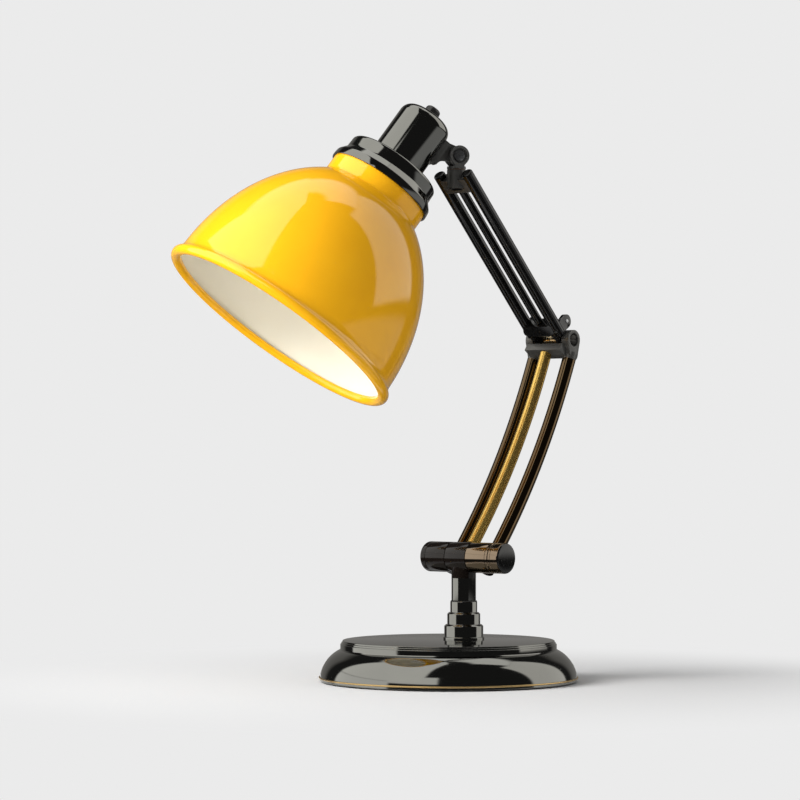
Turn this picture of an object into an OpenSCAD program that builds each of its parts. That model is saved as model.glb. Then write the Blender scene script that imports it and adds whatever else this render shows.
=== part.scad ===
// Dome shade desk lamp: a weighted round base, a stepped post with a barrel shoulder,
// a bowed three-tube lower arm, a straight three-tube upper arm and a turning, tilting
// head with a spun dome shade. Millimetres, +Z up. The origin is the middle of the
// underside of the base, the head reaches towards -Y and the arm joints turn about X.

/* [Base] */
// Diameter of the base at its widest
base_d = 190; // [180:1:220]
// Height of the flat top of the base above the floor
base_h = 30.5; // [30:0.5:36]
// Radius of the rounded skirt
skirt_r = 25.6; // [22:0.2:25.8]
// Height of the cover's lower edge above the floor
edge_h = 1; // [0.6:0.1:1.6]
// Diameter of the raised disc on top
disc_d = 156.4; // [140:0.2:160]
// Width of one step at the disc's edge
step_w = 0.8; // [0.4:0.1:1.2]
// Height of one step at the disc's edge
step_h = 1.3; // [0.8:0.1:1.6]
// Wall of the spun base cover
cover_wall = 2; // [1.6:0.1:2.4]
// Height of the trim ring above the floor
trim_h = 3.2; // [2.6:0.1:6]
// Side of the trim ring's square section
trim_t = 1.3; // [1:0.1:1.6]
// Thickness of the felt pad
felt_t = 2; // [1.5:0.1:2.5]
// Thickness of the bottom plate
plate_t = 1.5; // [1:0.1:2]
// Distance of the bottom plate's edge inside the base's edge
plate_inset = 3.5; // [3.5:0.1:8]
// Thickness of the cast ballast plate
ballast_t = 12; // [9:0.5:12.5]
// Distance of the cast ballast plate's edge inside the raised disc's edge
ballast_inset = 4.2; // [3.2:0.1:12]
// Diameter of the screw pillars under the ballast
pillar_d = 10; // [9:0.5:14]
// Distance of the screw pillars from the middle
pillar_out = 60; // [50:1:64]
// Diameter of the bottom screws' threads
foot_screw_d = 4; // [3:0.5:5]
// Bore of the cord grommet
grommet_bore = 6; // [5:0.5:7]

/* [Post] */
// Distance of the post behind the middle of the base
post_back = 18; // [10:1:26]
// Diameter of the stem
stem_d = 18.2; // [17:0.1:19]
// Diameters of the three collar steps, from the base up
collar_d = [29, 24.5, 20];
// Heights of the three collar steps, from the base up
collar_h = [10.9, 8.9, 8];
// Chamfer on each collar step
collar_chamfer = 1.2; // [0.6:0.1:1.6]
// Diameter of the threaded nipple
nipple_d = 10; // [9:0.5:10.5]
// Wire bore through the post
wire_bore = 6; // [5:0.5:6.5]
// Diameter of the stem's turning spigot
spigot_d = 13.4; // [12.6:0.1:14]
// Length of the stem's turning spigot
spigot_len = 12; // [10:0.5:13]
// Largest turn of the stem to either side, set by its groove
stem_turn = 150; // [60:5:150]
// Height of the shoulder axis above the floor
shoulder_h = 91; // [86:1:110]

/* [Shoulder] */
// Diameter of the shoulder barrel
barrel_d = 22.6; // [22:0.2:24]
// Half width of the fixed centre knuckle
knuckle_half = 9.4; // [9.3:0.1:9.5]
// Distance from the middle to the outer face of each turning knuckle
barrel_half = 28; // [26:0.5:32]
// Length of the tension knob on the right
knob_len = 12.6; // [9:0.2:16]
// Length of the end cap on the left
cap_len = 6; // [5.6:0.2:9]
// Rounding at the left end of the barrel
cap_round = 3.4; // [2:0.2:5]
// Rounding at the right end of the barrel
knob_round = 1.6; // [0.8:0.2:5]
// Diameter of the shoulder bolt
shoulder_bolt_d = 6; // [5:0.5:7]

/* [Lower arm] */
// Distance from the shoulder axis to the elbow axis
lower_len = 197.6; // [180:1:230]
// Lean of the lower arm behind the vertical
lower_lean = 33.8; // [25:0.5:40]
// Diameter of the two bowed side tubes
lower_tube_d = 10.5; // [9.5:0.1:10.8]
// Distance of each side tube from the middle
lower_spread = 16.8; // [16.7:0.1:18]
// Place of the side tubes' centre line behind the elbow axis, where they would meet its height
bow_top = 4.36; // [3.8:0.02:4.8]
// Height of the bow's crest behind the joint line
bow_crest = 16.2; // [15.4:0.2:17]
// Height of the crest, as a part of the lower arm's length
bow_peak = 0.415; // [0.4:0.005:0.43]
// Diameter of the brass conduit
conduit_d = 9; // [7.5:0.1:9.4]
// Distance of the conduit in front of the side tubes
conduit_front = 8.2; // [7.8:0.1:8.8]
// Wall of all arm tubes
tube_wall = 1; // [0.7:0.1:1.5]
// Wall of the sockets at the foot of the side tubes
socket_wall = 1.1; // [0.9:0.1:1.1]

/* [Elbow] */
// Radius of the yoke's eyes
yoke_eye_r = 7.6; // [7:0.1:8]
// Distance from the middle to the outer face of the yoke
yoke_half = 20.5; // [19.5:0.1:22]
// Radius of the upper arm's eyes
elbow_eye_r = 5.8; // [5.4:0.1:6.4]
// Distance from the middle to the outer face of the upper arm's eyes
elbow_half = 13.2; // [12.8:0.1:13.6]
// Thickness of each of the upper arm's eyes
elbow_eye_t = 5; // [4:0.1:6]
// Diameter of the elbow bolt
elbow_bolt_d = 4.4; // [4:0.1:5]
// Diameter of the spacer sleeve between the eyes
sleeve_d = 6.8; // [6.4:0.1:8]
// Diameter of the cross pin in the small lugs
cross_pin_d = 3.2; // [2.5:0.1:4]
// Radius of the small lugs
lug_r = 5.2; // [4.4:0.1:5.4]

/* [Upper arm] */
// Distance from the elbow axis to the middle of the head end block
upper_len = 165.5; // [150:1:200]
// Lean of the upper arm in front of the vertical
upper_lean = 44.7; // [38:0.1:50]
// Distance of the tubes' plane below the elbow axis
upper_drop = 2.8; // [2:0.1:3.4]
// Diameter of the two straight side tubes
upper_tube_d = 9; // [8:0.1:9.6]
// Distance of each straight side tube from the middle
upper_spread = 13; // [12.8:0.1:13.4]
// Diameter of the middle conduit
upper_conduit_d = 6.4; // [5:0.1:6.6]

/* [Head joint] */
// Turn of the head to the left of straight ahead
head_turn = 32; // [0:1:45]
// Tilt of the shade from hanging straight down
head_tilt = 36.3; // [25:0.1:50]
// Height of the tilt axis above the head end block
tilt_rise = 17.6; // [17:0.1:20]
// Diameter of the swivel boss
boss_d = 14; // [13:0.1:14.4]
// Diameter of the swivel pin
swivel_d = 5; // [4:0.1:5.2]
// Thickness of the bracket's tongue
tongue_t = 6; // [5:0.1:7]
// Radius of the bracket's eye
tongue_r = 6.6; // [6:0.1:7]
// Thickness of the right ear, which takes the screw head
ear_right_t = 4.4; // [4:0.1:5]
// Thickness of the left ear
ear_left_t = 3; // [2.4:0.1:4]
// Radius of the ears
ear_r = 7.5; // [7:0.1:8]
// Diameter of the tilt bolt
tilt_bolt_d = 5; // [4:0.1:5.4]
// Distance of the shade's axis in front of the tilt axis
head_reach = 34.3; // [33:0.1:37]
// Height of the tilt axis above the shade's neck
head_drop = 58; // [56:0.5:60]

/* [Head] */
// Diameter of the socket housing
housing_d = 41; // [40.4:0.1:42]
// Height of the housing's top above the shade's neck
housing_top = 68.8; // [67.5:0.1:74]
// Rounding of the housing's top corner
housing_round = 8; // [6:0.2:9]
// Wall of the housing
housing_wall = 1.6; // [1.2:0.1:1.7]
// Height of the collar's top face above the shade's neck
collar_top = 23.3; // [22:0.1:25]
// Diameter of the shade collar at its upper edge
collar_upper_d = 72.4; // [71:0.2:75]
// Diameter of the shade collar at its flared lower edge
collar_lower_d = 82.4; // [81.6:0.1:84]
// Height of the flared lower edge above the neck
collar_foot = 2.2; // [1.6:0.1:3]
// Wall of the shade collar
collar_wall = 1.2; // [1:0.1:1.3]

/* [Shade] */
// Diameter of the shade's neck
neck_d = 79.2; // [76:0.2:79.4]
// Widest diameter of the dome
dome_d = 182.4; // [170:1:190]
// Height of the dome's curve
dome_h = 122; // [112:1:128]
// Distance of the dome's widest level below the neck
dome_drop = 120; // [117:0.5:121]
// Diameter over the rolled rim
rim_d = 190.6; // [188:0.2:196]
// Radius of the rolled rim
rim_r = 4; // [3:0.1:4.3]
// Wall of the spun shade
shade_wall = 1.2; // [1:0.1:1.5]

/* [Lamp and switch] */
// Diameter of the lampholder's threaded body
holder_d = 39; // [38:0.1:39.6]
// Diameter of the lampholder's upper neck
holder_neck_d = 33.6; // [32:0.1:34]
// Diameter of the bulb's screw cap
screw_cap_d = 26.2; // [26:0.1:26.4]
// Diameter of the bulb's globe
globe_d = 55; // [45:1:60]
// Length of the bulb over its glass and cap
bulb_len = 98; // [92:1:104]
// Diameter of the switch knob
switch_knob_d = 10.8; // [9:0.1:13]
// Height of the switch knob
switch_knob_h = 5.8; // [4:0.1:8]
// Diameter of the switch spindle
spindle_d = 4; // [3:0.1:5]

/* [Hidden] */
$fn = 64;

// Clearances
push_fit = 0.05;    // a piece pressed or screwed into its seat, per side
turn_fit = 0.1;     // a pin that turns in its bore, per side
play = 0.1;         // between faces that turn on each other
clear = 0.3;        // between pieces that only pass each other
eps = 0.01;         // overshoot of a cut beyond a face

// Colours
gloss_black = "#16130f";
shade_yellow = "#f6b41a";
brass_tone = "#c9973f";
steel_tone = "#8d8f92";
iron_tone = "#3c3b3a";
felt_tone = "#20211f";
rubber_tone = "#1b1b1b";
ceramic_tone = "#e9e5db";
fibre_tone = "#7a5a3a";

// Base
skirt_x = base_d / 2 - skirt_r;
skirt_z = 0.4;
steps = 3;
step_r = disc_d / 2 + (steps - 1) * step_w;
trim_r = skirt_x + sqrt(pow(skirt_r, 2) - pow(trim_h - skirt_z, 2));
cover_under = base_h - cover_wall;
ballast_z = cover_under - ballast_t;
plate_z = felt_t + plate_t;
plate_d = base_d - 2 * plate_inset;
ballast_d = disc_d - 2 * ballast_inset;
foot_screw_count = 3;
foot_screw_turn = 30;
foot_head_d = foot_screw_d * 1.9;
foot_head_h = felt_t - 0.4;
foot_screw_len = 12;
washer_d = 20;
washer_t = 1.5;
nipple_nut_w = 14;
nipple_nut_h = 5;
nipple_low = ballast_z - washer_t - nipple_nut_h - 1;
grommet_lift = 27;
grommet_flange = grommet_bore + 6;
grommet_neck = grommet_bore + 2.8;
grommet_t = 1.8;

// Post
collar_z0 = base_h;
collar_z1 = collar_z0 + collar_h[0];
collar_z2 = collar_z1 + collar_h[1];
collar_z3 = collar_z2 + collar_h[2];
nipple_high = collar_z3 - spigot_len - 2;
stem_washer_t = 0.6;
stem_z = collar_z3 + stem_washer_t + play;
groove_z = stem_z - spigot_len / 2;
grub_d = 3;
groove_deep = 1.4;
groove_r = spigot_d / 2 - groove_deep;
grub_in = groove_r + clear;
grub_out = collar_d[2] / 2 - 0.2;
stem_plug_d = 12;
stem_plug_len = 8;
neck_z = shoulder_h - barrel_d / 2 - 4;

// Shoulder
wash_t = 0.6;
wash_d = barrel_d - 2;
turn_in = knuckle_half + play + wash_t;
bolt_head_d = shoulder_bolt_d * 1.8;
bolt_head_t = 4;
bolt_head_x = barrel_half - bolt_head_t - 2;
knob_x = barrel_half + play;
bolt_end_x = knob_x + knob_len - 4;

// Lower arm
bow_mid = bow_peak * lower_len;
bow_rise = bow_crest - bow_top;
bow_r = (pow(lower_len - bow_mid, 2) + pow(bow_rise, 2)) / (2 * bow_rise);
foot_z = 3;
lug_low = -5;
lug_high = 14;
lug_d = lower_tube_d + 2 * socket_wall;
bridge_low = 3;
bridge_high = 13;
bridge_t = 6;
conduit_foot = barrel_d / 2 + 1.8;
arm_high = conduit_foot + 3.4;
block_front = -7.2;
block_back = 4.8;
block_drop = 8.2;
block_z0 = lower_len - 14;
block_z1 = lower_len - block_drop;
plug_len = 10;
lower_plug_d = lower_tube_d - 2 * tube_wall - 2 * push_fit;
conduit_top = block_z0 + 3.4;

// Elbow
yoke_in = elbow_half + wash_t + play;
elbow_head_d = 7.6;
elbow_head_t = 2;
elbow_nut_w = 7.6;
elbow_nut_t = 2.4;
ear_recess_d = 10.4;
ear_recess = 2.6;
sleeve_half = elbow_half - elbow_eye_t;
upper_plug_d = upper_tube_d - 2 * tube_wall - 2 * push_fit;
foot_low = yoke_eye_r + 1;
foot_block_z0 = foot_low + 2.6;
foot_block_z1 = foot_block_z0 + 10;
foot_block_t = upper_tube_d + 0.8;
upper_foot = foot_low + 5;
lug_y = 7.6;
lug_z = 12.6;
lug_x0 = elbow_half;
lug_x1 = lug_x0 + 3;

// Upper arm and head end
upper_top = upper_len + 6.4;
end_box_t = upper_conduit_d + 2.4;
end_box_z0 = upper_len - 9;
end_box_z1 = upper_len + 3;
conduit_plug_d = upper_conduit_d - 2 * tube_wall - 2 * push_fit;
conduit_plug_bore = 2.4;
boss_low = -6.6;
boss_high = 7.4;

// Head joint
swivel_wash_t = 0.5;
knuckle_z = boss_high + swivel_wash_t + play;
knuckle_disc_t = 1.9;
swivel_nut_w = 8;
swivel_nut_h = 4;
nut_pocket = swivel_nut_h + 0.4;
tilt_wash_t = 0.5;
ear_in = tongue_t / 2 + tilt_wash_t + play;
ear_right = ear_in + ear_right_t;
ear_left = ear_in + ear_left_t;
tilt_head_d = 8;
tilt_head_t = 2;
tilt_nut_w = 8;
tilt_nut_t = 3.4;
pad_low = 42;
pad_high = housing_top - housing_round - 0.4;
pad_half = 8;
pad_t = 3;
bracket_screw_d = 3;
bracket_screw_z = [pad_low + 4, pad_high - 5];

// Head
crown_z = 5.2;
neck_low = -dome_drop + dome_h * sqrt(1 - pow(neck_d / dome_d, 2));
lip_z = -dome_drop - 5.4;
holder_flange_d = 48;
holder_flange_t = 3;
holder_low = -16;
holder_bore = screw_cap_d + 0.8;
holder_floor = 12;
holder_high = 31;
collar_plate_z = collar_top - collar_wall;
collar_hole_d = holder_neck_d + 0.4;
ring_d = 51;
ring_t = 5.5;
holder_nut_z = collar_top + housing_wall;
holder_nut_t = 4.4;
holder_nut_d = housing_d - 2 * housing_wall - 1;
cap_low = -15;
cap_high = holder_floor - 2.2;
glass_wall = 0.9;
globe_z = cap_high + 1.6 - bulb_len + globe_d / 2;
bushing_d = 9.5;
switch_shoulder_d = 14;
switch_body_d = 26;
switch_body_h = 13;
switch_body_z = housing_top - housing_wall - 4.2 - switch_body_h;
switch_nut_w = 12;
switch_nut_t = 1.6;
bushing_top = housing_top + switch_nut_t + 0.4;
knob_z = bushing_top + play;
knob_sides = 12;

// ---- Frames of the moving groups ----

module at_post() {
    translate([0, post_back, 0]) children();
}
module at_shoulder() {
    translate([0, post_back, shoulder_h]) rotate([-lower_lean, 0, 0]) children();
}
module at_elbow() {
    at_shoulder() translate([0, 0, lower_len]) rotate([lower_lean + upper_lean, 0, 0]) children();
}
module at_arm_end() {
    at_elbow() translate([0, -upper_drop, upper_len]) rotate([-upper_lean, 0, 0]) children();
}
module at_swivel() {
    at_arm_end() rotate([0, 0, -head_turn]) children();
}
module at_tilt() {
    at_swivel() translate([0, 0, tilt_rise]) children();
}
module at_head() {
    at_tilt() rotate([-head_tilt, 0, 0]) translate([0, -head_reach, -head_drop]) children();
}

// ---- Shared shapes ----

// A rod along X from x0 to x1.
module rod_x(d, x0, x1) {
    translate([x0, 0, 0]) rotate([0, 90, 0]) cylinder(d = d, h = x1 - x0);
}
// A washer along X from x0 to x1.
module washer_x(d, bore, x0, x1) {
    difference() {
        rod_x(d, x0, x1);
        rod_x(bore, x0 - 1, x1 + 1);
    }
}
// A flat ring from z0 up to z1.
module ring_z(d, bore, z0, z1) {
    difference() {
        translate([0, 0, z0]) cylinder(d = d, h = z1 - z0);
        translate([0, 0, z0 - 1]) cylinder(d = bore, h = z1 - z0 + 2);
    }
}
// A plate whose outline lies in the YZ plane, from x0 to x1.
module plate_x(x0, x1) {
    translate([x0, 0, 0]) rotate([90, 0, 90]) linear_extrude(x1 - x0) children();
}
// A hexagon nut from z0 up to z1, w across its flats.
module hex_nut(w, bore, z0, z1) {
    difference() {
        translate([0, 0, z0]) cylinder(d = w / cos(30), h = z1 - z0, $fn = 6);
        translate([0, 0, z0 - 1]) cylinder(d = bore, h = z1 - z0 + 2);
    }
}
// Both sides of the lamp.
module both_sides() {
    for (side = [-1, 1]) flip_x(side) children();
}
module flip_x(side) {
    if (side < 0) mirror([1, 0, 0]) children();
    else children();
}
// Outline of two circles joined by their tangents, the second at [dy, dz].
module link_2d(r0, r1, dy, dz) {
    span = norm([dy, dz]);
    lean = asin((r0 - r1) / span);
    circle(r = r0);
    translate([dy, dz]) circle(r = r1);
    rotate(atan2(dz, dy)) polygon([
        [r0 * sin(lean), r0 * cos(lean)], [span + r1 * sin(lean), r1 * cos(lean)],
        [span + r1 * sin(lean), -r1 * cos(lean)], [r0 * sin(lean), -r0 * cos(lean)]]);
}
// Place of the bowed tubes' centre line behind the joint line at height z.
function bow_y(z, front = 0) =
    bow_crest - bow_r + sqrt(pow(bow_r - front, 2) - pow(z - bow_mid, 2));
// A bowed rod between the heights z0 and z1, at x, set in front of the side tubes.
module bow_rod(d, x, z0, z1, front = 0) {
    a0 = asin((z0 - bow_mid) / (bow_r - front));
    a1 = asin((z1 - bow_mid) / (bow_r - front));
    translate([x, bow_crest - bow_r, bow_mid]) rotate([90, 0, 90])
        rotate_extrude(angle = a1 - a0, start = a0, $fn = 360)
            translate([bow_r - front, 0]) circle(d = d, $fn = 48);
}
module bow_tube(d, x, z0, z1, front = 0) {
    difference() {
        bow_rod(d, x, z0, z1, front);
        bow_rod(d - 2 * tube_wall, x, z0 - 1, z1 + 1, front);
    }
}
// A straight arm tube at x from z0 up to z1, closed at its upper end.
module closed_tube(d, x, z0, z1) {
    translate([x, -upper_drop, 0]) difference() {
        union() {
            translate([0, 0, z0]) cylinder(d = d, h = z1 - z0 - 1);
            translate([0, 0, z1 - 1 - eps]) cylinder(d1 = d, d2 = d - 2, h = 1 + eps);
        }
        translate([0, 0, z0 - 1]) cylinder(d = d - 2 * tube_wall, h = z1 - z0 - tube_wall);
    }
}

// ---- Base ----

// Filled half section of the base, inset from its outer surface and open at z0.
module base_section(inset, z0) {
    intersection() {
        translate([skirt_x, skirt_z]) circle(r = skirt_r - inset, $fn = 128);
        translate([0, z0]) square([base_d, base_h]);
    }
    translate([0, z0]) square([skirt_x, skirt_z + skirt_r - inset - z0]);
    for (i = [0 : steps - 1])
        translate([0, z0]) square([disc_d / 2 + i * step_w - inset, base_h - i * step_h - inset - z0]);
}
module grommet_frame() {
    translate([0, skirt_x, skirt_z]) rotate([grommet_lift - 90, 0, 0]) children();
}
module base_cover() {
    color(gloss_black) difference() {
        rotate_extrude($fn = 180) base_section(0, edge_h);
        rotate_extrude($fn = 180) base_section(cover_wall, edge_h - 2);
        rotate_extrude($fn = 180) translate([trim_r - trim_t / 2, trim_h - trim_t / 2])
            square([trim_t * 2, trim_t]);
        at_post() cylinder(d = nipple_d + 2 * clear, h = base_h + 1);
        grommet_frame() cylinder(d = grommet_neck + 2 * push_fit, h = skirt_r + 2);
    }
}
module trim_ring() {
    color(brass_tone) rotate_extrude($fn = 180)
        translate([trim_r - trim_t / 2, trim_h - trim_t / 2]) {
            square([trim_t * 0.7, trim_t]);
            translate([trim_t * 0.7, trim_t / 2]) circle(d = trim_t);
        }
}
module each_foot_screw() {
    for (i = [0 : foot_screw_count - 1])
        rotate(foot_screw_turn + i * 360 / foot_screw_count) translate([pillar_out, 0, 0]) children();
}
module ballast_plate() {
    color(iron_tone) difference() {
        union() {
            translate([0, 0, ballast_z]) cylinder(d = ballast_d, h = ballast_t, $fn = 128);
            each_foot_screw() translate([0, 0, plate_z])
                cylinder(d = pillar_d, h = ballast_z - plate_z + 1);
        }
        at_post() cylinder(d = nipple_d + 2 * push_fit, h = base_h);
        each_foot_screw() cylinder(d = foot_screw_d + 2 * push_fit, h = felt_t + foot_screw_len);
    }
}
module bottom_plate() {
    color(steel_tone) difference() {
        translate([0, 0, felt_t]) cylinder(d = plate_d, h = plate_t, $fn = 128);
        each_foot_screw() cylinder(d = foot_screw_d + 2 * push_fit, h = plate_z + 1);
    }
}
module felt_pad() {
    color(felt_tone) difference() {
        cylinder(d = plate_d - 4, h = felt_t, $fn = 128);
        each_foot_screw() translate([0, 0, -1]) cylinder(d = foot_head_d + 2, h = felt_t + 2);
    }
}
module bottom_screws() {
    color(steel_tone) each_foot_screw() difference() {
        union() {
            translate([0, 0, felt_t - foot_head_h]) cylinder(d = foot_head_d, h = foot_head_h);
            translate([0, 0, felt_t - eps]) cylinder(d = foot_screw_d, h = foot_screw_len + eps);
        }
        for (turn = [0, 90]) rotate(turn)
            translate([-foot_head_d / 3, -0.4, felt_t - foot_head_h - 1])
                cube([foot_head_d / 1.5, 0.8, 1.9]);
    }
}
module cord_grommet() {
    color(rubber_tone) grommet_frame() difference() {
        union() {
            translate([0, 0, skirt_r + push_fit]) cylinder(d = grommet_flange, h = grommet_t);
            translate([0, 0, skirt_r - cover_wall - 2]) cylinder(d = grommet_neck, h = cover_wall + 3);
            translate([0, 0, skirt_r - cover_wall - 1.2 - grommet_t])
                cylinder(d = grommet_flange, h = grommet_t);
        }
        cylinder(d = grommet_bore, h = skirt_r + 6);
    }
}

// ---- Post ----

// Half section of one collar step with a chamfered top edge.
module collar_step_2d(d, z0, z1) {
    c = collar_chamfer;
    polygon([[0, z0], [d / 2, z0], [d / 2, z1 - c], [d / 2 - c, z1], [0, z1]]);
}
module stepped_collar() {
    foot = 0.8;
    color(gloss_black) at_post() difference() {
        union() {
            rotate_extrude() {
                translate([0, collar_z0]) square([collar_d[0] / 2 + foot, 2 * foot]);
                collar_step_2d(collar_d[0], collar_z0, collar_z1);
                collar_step_2d(collar_d[1], collar_z1 - eps, collar_z2);
                translate([0, collar_z2 - eps]) square([collar_d[2] / 2, collar_h[2] + eps]);
            }
        }
        translate([0, 0, collar_z0 - 1]) cylinder(d = nipple_d + 2 * push_fit, h = base_h);
        translate([0, 0, stem_z - spigot_len - 0.6])
            cylinder(d = spigot_d + 2 * turn_fit, h = spigot_len + 2);
        translate([0, 0, groove_z]) rotate([-90, 0, 0]) cylinder(d = grub_d + 2 * push_fit, h = collar_d[1]);
    }
}
module threaded_nipple() {
    color(steel_tone) at_post() ring_z(nipple_d, wire_bore, nipple_low, nipple_high);
}
module nipple_washer() {
    color(steel_tone) at_post() ring_z(washer_d, nipple_d + 2 * push_fit, ballast_z - washer_t, ballast_z);
}
module nipple_nut() {
    color(brass_tone) at_post()
        hex_nut(nipple_nut_w, nipple_d + 2 * push_fit,
            ballast_z - washer_t - nipple_nut_h, ballast_z - washer_t);
}
module stem_grub_screw() {
    color(steel_tone) at_post() translate([0, 0, groove_z]) rotate([-90, 0, 0]) difference() {
        translate([0, 0, grub_in]) cylinder(d = grub_d, h = grub_out - grub_in);
        translate([0, 0, grub_out - 1.2]) cylinder(d = grub_d / 2, h = 2, $fn = 6);
    }
}
module stem_washer() {
    color(fibre_tone) at_post()
        ring_z(collar_d[2] - 0.4, spigot_d + 2 * clear, collar_z3, collar_z3 + stem_washer_t);
}
module stem_tube() {
    groove_half = stem_turn + asin((grub_d / 2 + clear) / grub_in);
    color(gloss_black) at_post() difference() {
        union() {
            translate([0, 0, stem_z - spigot_len]) cylinder(d = spigot_d, h = spigot_len + 1);
            translate([0, 0, stem_z]) cylinder(d = stem_d, h = neck_z - stem_z);
            translate([0, 0, neck_z - 1]) cylinder(d = stem_plug_d, h = stem_plug_len + 1);
        }
        translate([0, 0, stem_z - spigot_len - 1]) cylinder(d = wire_bore, h = shoulder_h);
        translate([0, 0, groove_z]) rotate_extrude(angle = 2 * groove_half, start = 90 - groove_half)
            translate([groove_r, -grub_d / 2 - clear]) square([groove_deep + 1, grub_d + 2 * clear]);
    }
}
module centre_knuckle() {
    color(gloss_black) at_post() difference() {
        union() {
            translate([0, 0, shoulder_h]) rod_x(barrel_d, -knuckle_half, knuckle_half);
            translate([0, 0, neck_z]) cylinder(d = stem_d, h = shoulder_h - neck_z);
        }
        translate([0, 0, shoulder_h])
            rod_x(shoulder_bolt_d + 2 * turn_fit, -knuckle_half - 1, knuckle_half + 1);
        translate([0, 0, neck_z - 1]) cylinder(d = stem_plug_d + 2 * push_fit, h = stem_plug_len + 1);
        both_sides() translate([knuckle_half, 0, neck_z - 1])
            cube([stem_d, stem_d, 2 * barrel_d], center = true);
    }
}

// ---- Shoulder, turning with the lower arm ----

module tube_foot_lug() {
    intersection() {
        bow_rod(lug_d, lower_spread, lug_low, lug_high);
        translate([turn_in, -barrel_d, -barrel_d]) cube([barrel_half - turn_in, 3 * barrel_d, 3 * barrel_d]);
    }
}
module turning_knuckle(bore_d, pocket_d) {
    difference() {
        union() {
            rod_x(barrel_d, turn_in, barrel_half);
            tube_foot_lug();
        }
        rod_x(bore_d, 0, barrel_half + 1);
        rod_x(pocket_d, bolt_head_x, barrel_half + 1);
        bow_rod(lower_tube_d + 2 * push_fit, lower_spread, foot_z, lug_high + 1);
    }
}
module left_knuckle() {
    color(gloss_black) at_shoulder() mirror([1, 0, 0])
        turning_knuckle(shoulder_bolt_d + 2 * push_fit, bolt_head_d + 0.6);
}
module right_knuckle() {
    color(gloss_black) at_shoulder()
        turning_knuckle(shoulder_bolt_d + 2 * push_fit, shoulder_bolt_d + 2 * push_fit);
}
module shoulder_washers() {
    color(fibre_tone) at_shoulder() both_sides()
        washer_x(wash_d, shoulder_bolt_d + 2 * push_fit, turn_in - wash_t, turn_in);
}
module shoulder_bolt() {
    color(steel_tone) at_shoulder() union() {
        rod_x(shoulder_bolt_d, -bolt_head_x - 1, bolt_end_x);
        rod_x(bolt_head_d, -bolt_head_x - bolt_head_t, -bolt_head_x);
    }
}
// Half section of a barrel end with a rounded rim, lying along the axis.
module barrel_end_2d(len, round_r) {
    square([barrel_d / 2 - round_r, len]);
    square([barrel_d / 2, len - round_r]);
    intersection() {
        translate([barrel_d / 2 - round_r, len - round_r]) circle(r = round_r);
        square([barrel_d / 2, len]);
    }
}
module left_end_cap() {
    plug_d = bolt_head_d;
    color(gloss_black) at_shoulder() {
        translate([-barrel_half - push_fit, 0, 0]) rotate([0, -90, 0])
            rotate_extrude() barrel_end_2d(cap_len, cap_round);
        rod_x(plug_d, -barrel_half - 1, -bolt_head_x - bolt_head_t - push_fit);
    }
}
module tension_knob() {
    groove = 0.5;
    color(gloss_black) at_shoulder() translate([knob_x, 0, 0]) rotate([0, 90, 0]) difference() {
        rotate_extrude() difference() {
            barrel_end_2d(knob_len, knob_round);
            translate([barrel_d / 2, knob_len * 0.22]) circle(r = groove);
        }
        translate([0, 0, -1]) cylinder(d = shoulder_bolt_d + 2 * push_fit, h = bolt_end_x - knob_x + 1);
    }
}

// ---- Lower arm ----

module lower_left_tube() {
    color(gloss_black) at_shoulder() bow_tube(lower_tube_d, -lower_spread, foot_z, block_z0);
}
module lower_right_tube() {
    color(gloss_black) at_shoulder() bow_tube(lower_tube_d, lower_spread, foot_z, block_z0);
}
module lower_conduit() {
    color(brass_tone) at_shoulder() bow_tube(conduit_d, 0, conduit_foot, conduit_top, conduit_front);
}
module lower_bridge() {
    bar_y = barrel_d / 2 + 0.8;
    arm_y = bow_y(conduit_foot, conduit_front);
    color(gloss_black) at_shoulder() difference() {
        union() {
            translate([-lower_spread, bar_y, bridge_low])
                cube([2 * lower_spread, bridge_t, bridge_high - bridge_low]);
            translate([-conduit_d / 2, arm_y, conduit_foot])
                cube([conduit_d, bar_y + bridge_t - arm_y, arm_high - conduit_foot]);
            translate([-conduit_d / 2, bar_y, bridge_low])
                cube([conduit_d, bridge_t, arm_high - bridge_low]);
        }
        both_sides() bow_rod(lug_d + 2 * push_fit, lower_spread, lug_low - 2, lug_high + 6);
        bow_rod(conduit_d + 2 * push_fit, 0, conduit_foot - 2, arm_high + 2, conduit_front);
    }
}
module elbow_yoke() {
    tail_z = block_z0 + 4.6;
    tail_r = lower_tube_d / 2 - 0.4;
    color(gloss_black) at_shoulder() difference() {
        union() {
            difference() {
                union() {
                    translate([-lower_spread, block_front, block_z0])
                        cube([2 * lower_spread, block_back - block_front, block_z1 - block_z0]);
                    both_sides() {
                        bow_rod(lower_tube_d, lower_spread, block_z0, block_z1);
                        plate_x(yoke_in, yoke_half) translate([0, lower_len])
                            link_2d(yoke_eye_r, tail_r, bow_y(tail_z), tail_z - lower_len);
                    }
                }
                both_sides() bow_rod(lower_tube_d + 2 * push_fit, lower_spread, block_z0 - 6, block_z0);
            }
            both_sides() bow_rod(lower_plug_d, lower_spread, block_z0 - plug_len, block_z0 + 1);
        }
        bow_rod(conduit_d + 2 * push_fit, 0, block_z0 - 1, conduit_top, conduit_front);
        bow_rod(conduit_d - 2 * tube_wall, 0, conduit_top - 1, block_z1 + 2, conduit_front);
        translate([0, 0, lower_len]) {
            rod_x(elbow_bolt_d + 2 * push_fit, -yoke_half - 1, yoke_half + 1);
            both_sides() rod_x(ear_recess_d, yoke_half - ear_recess, yoke_half + 1);
        }
    }
}

// ---- Elbow ----

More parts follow.
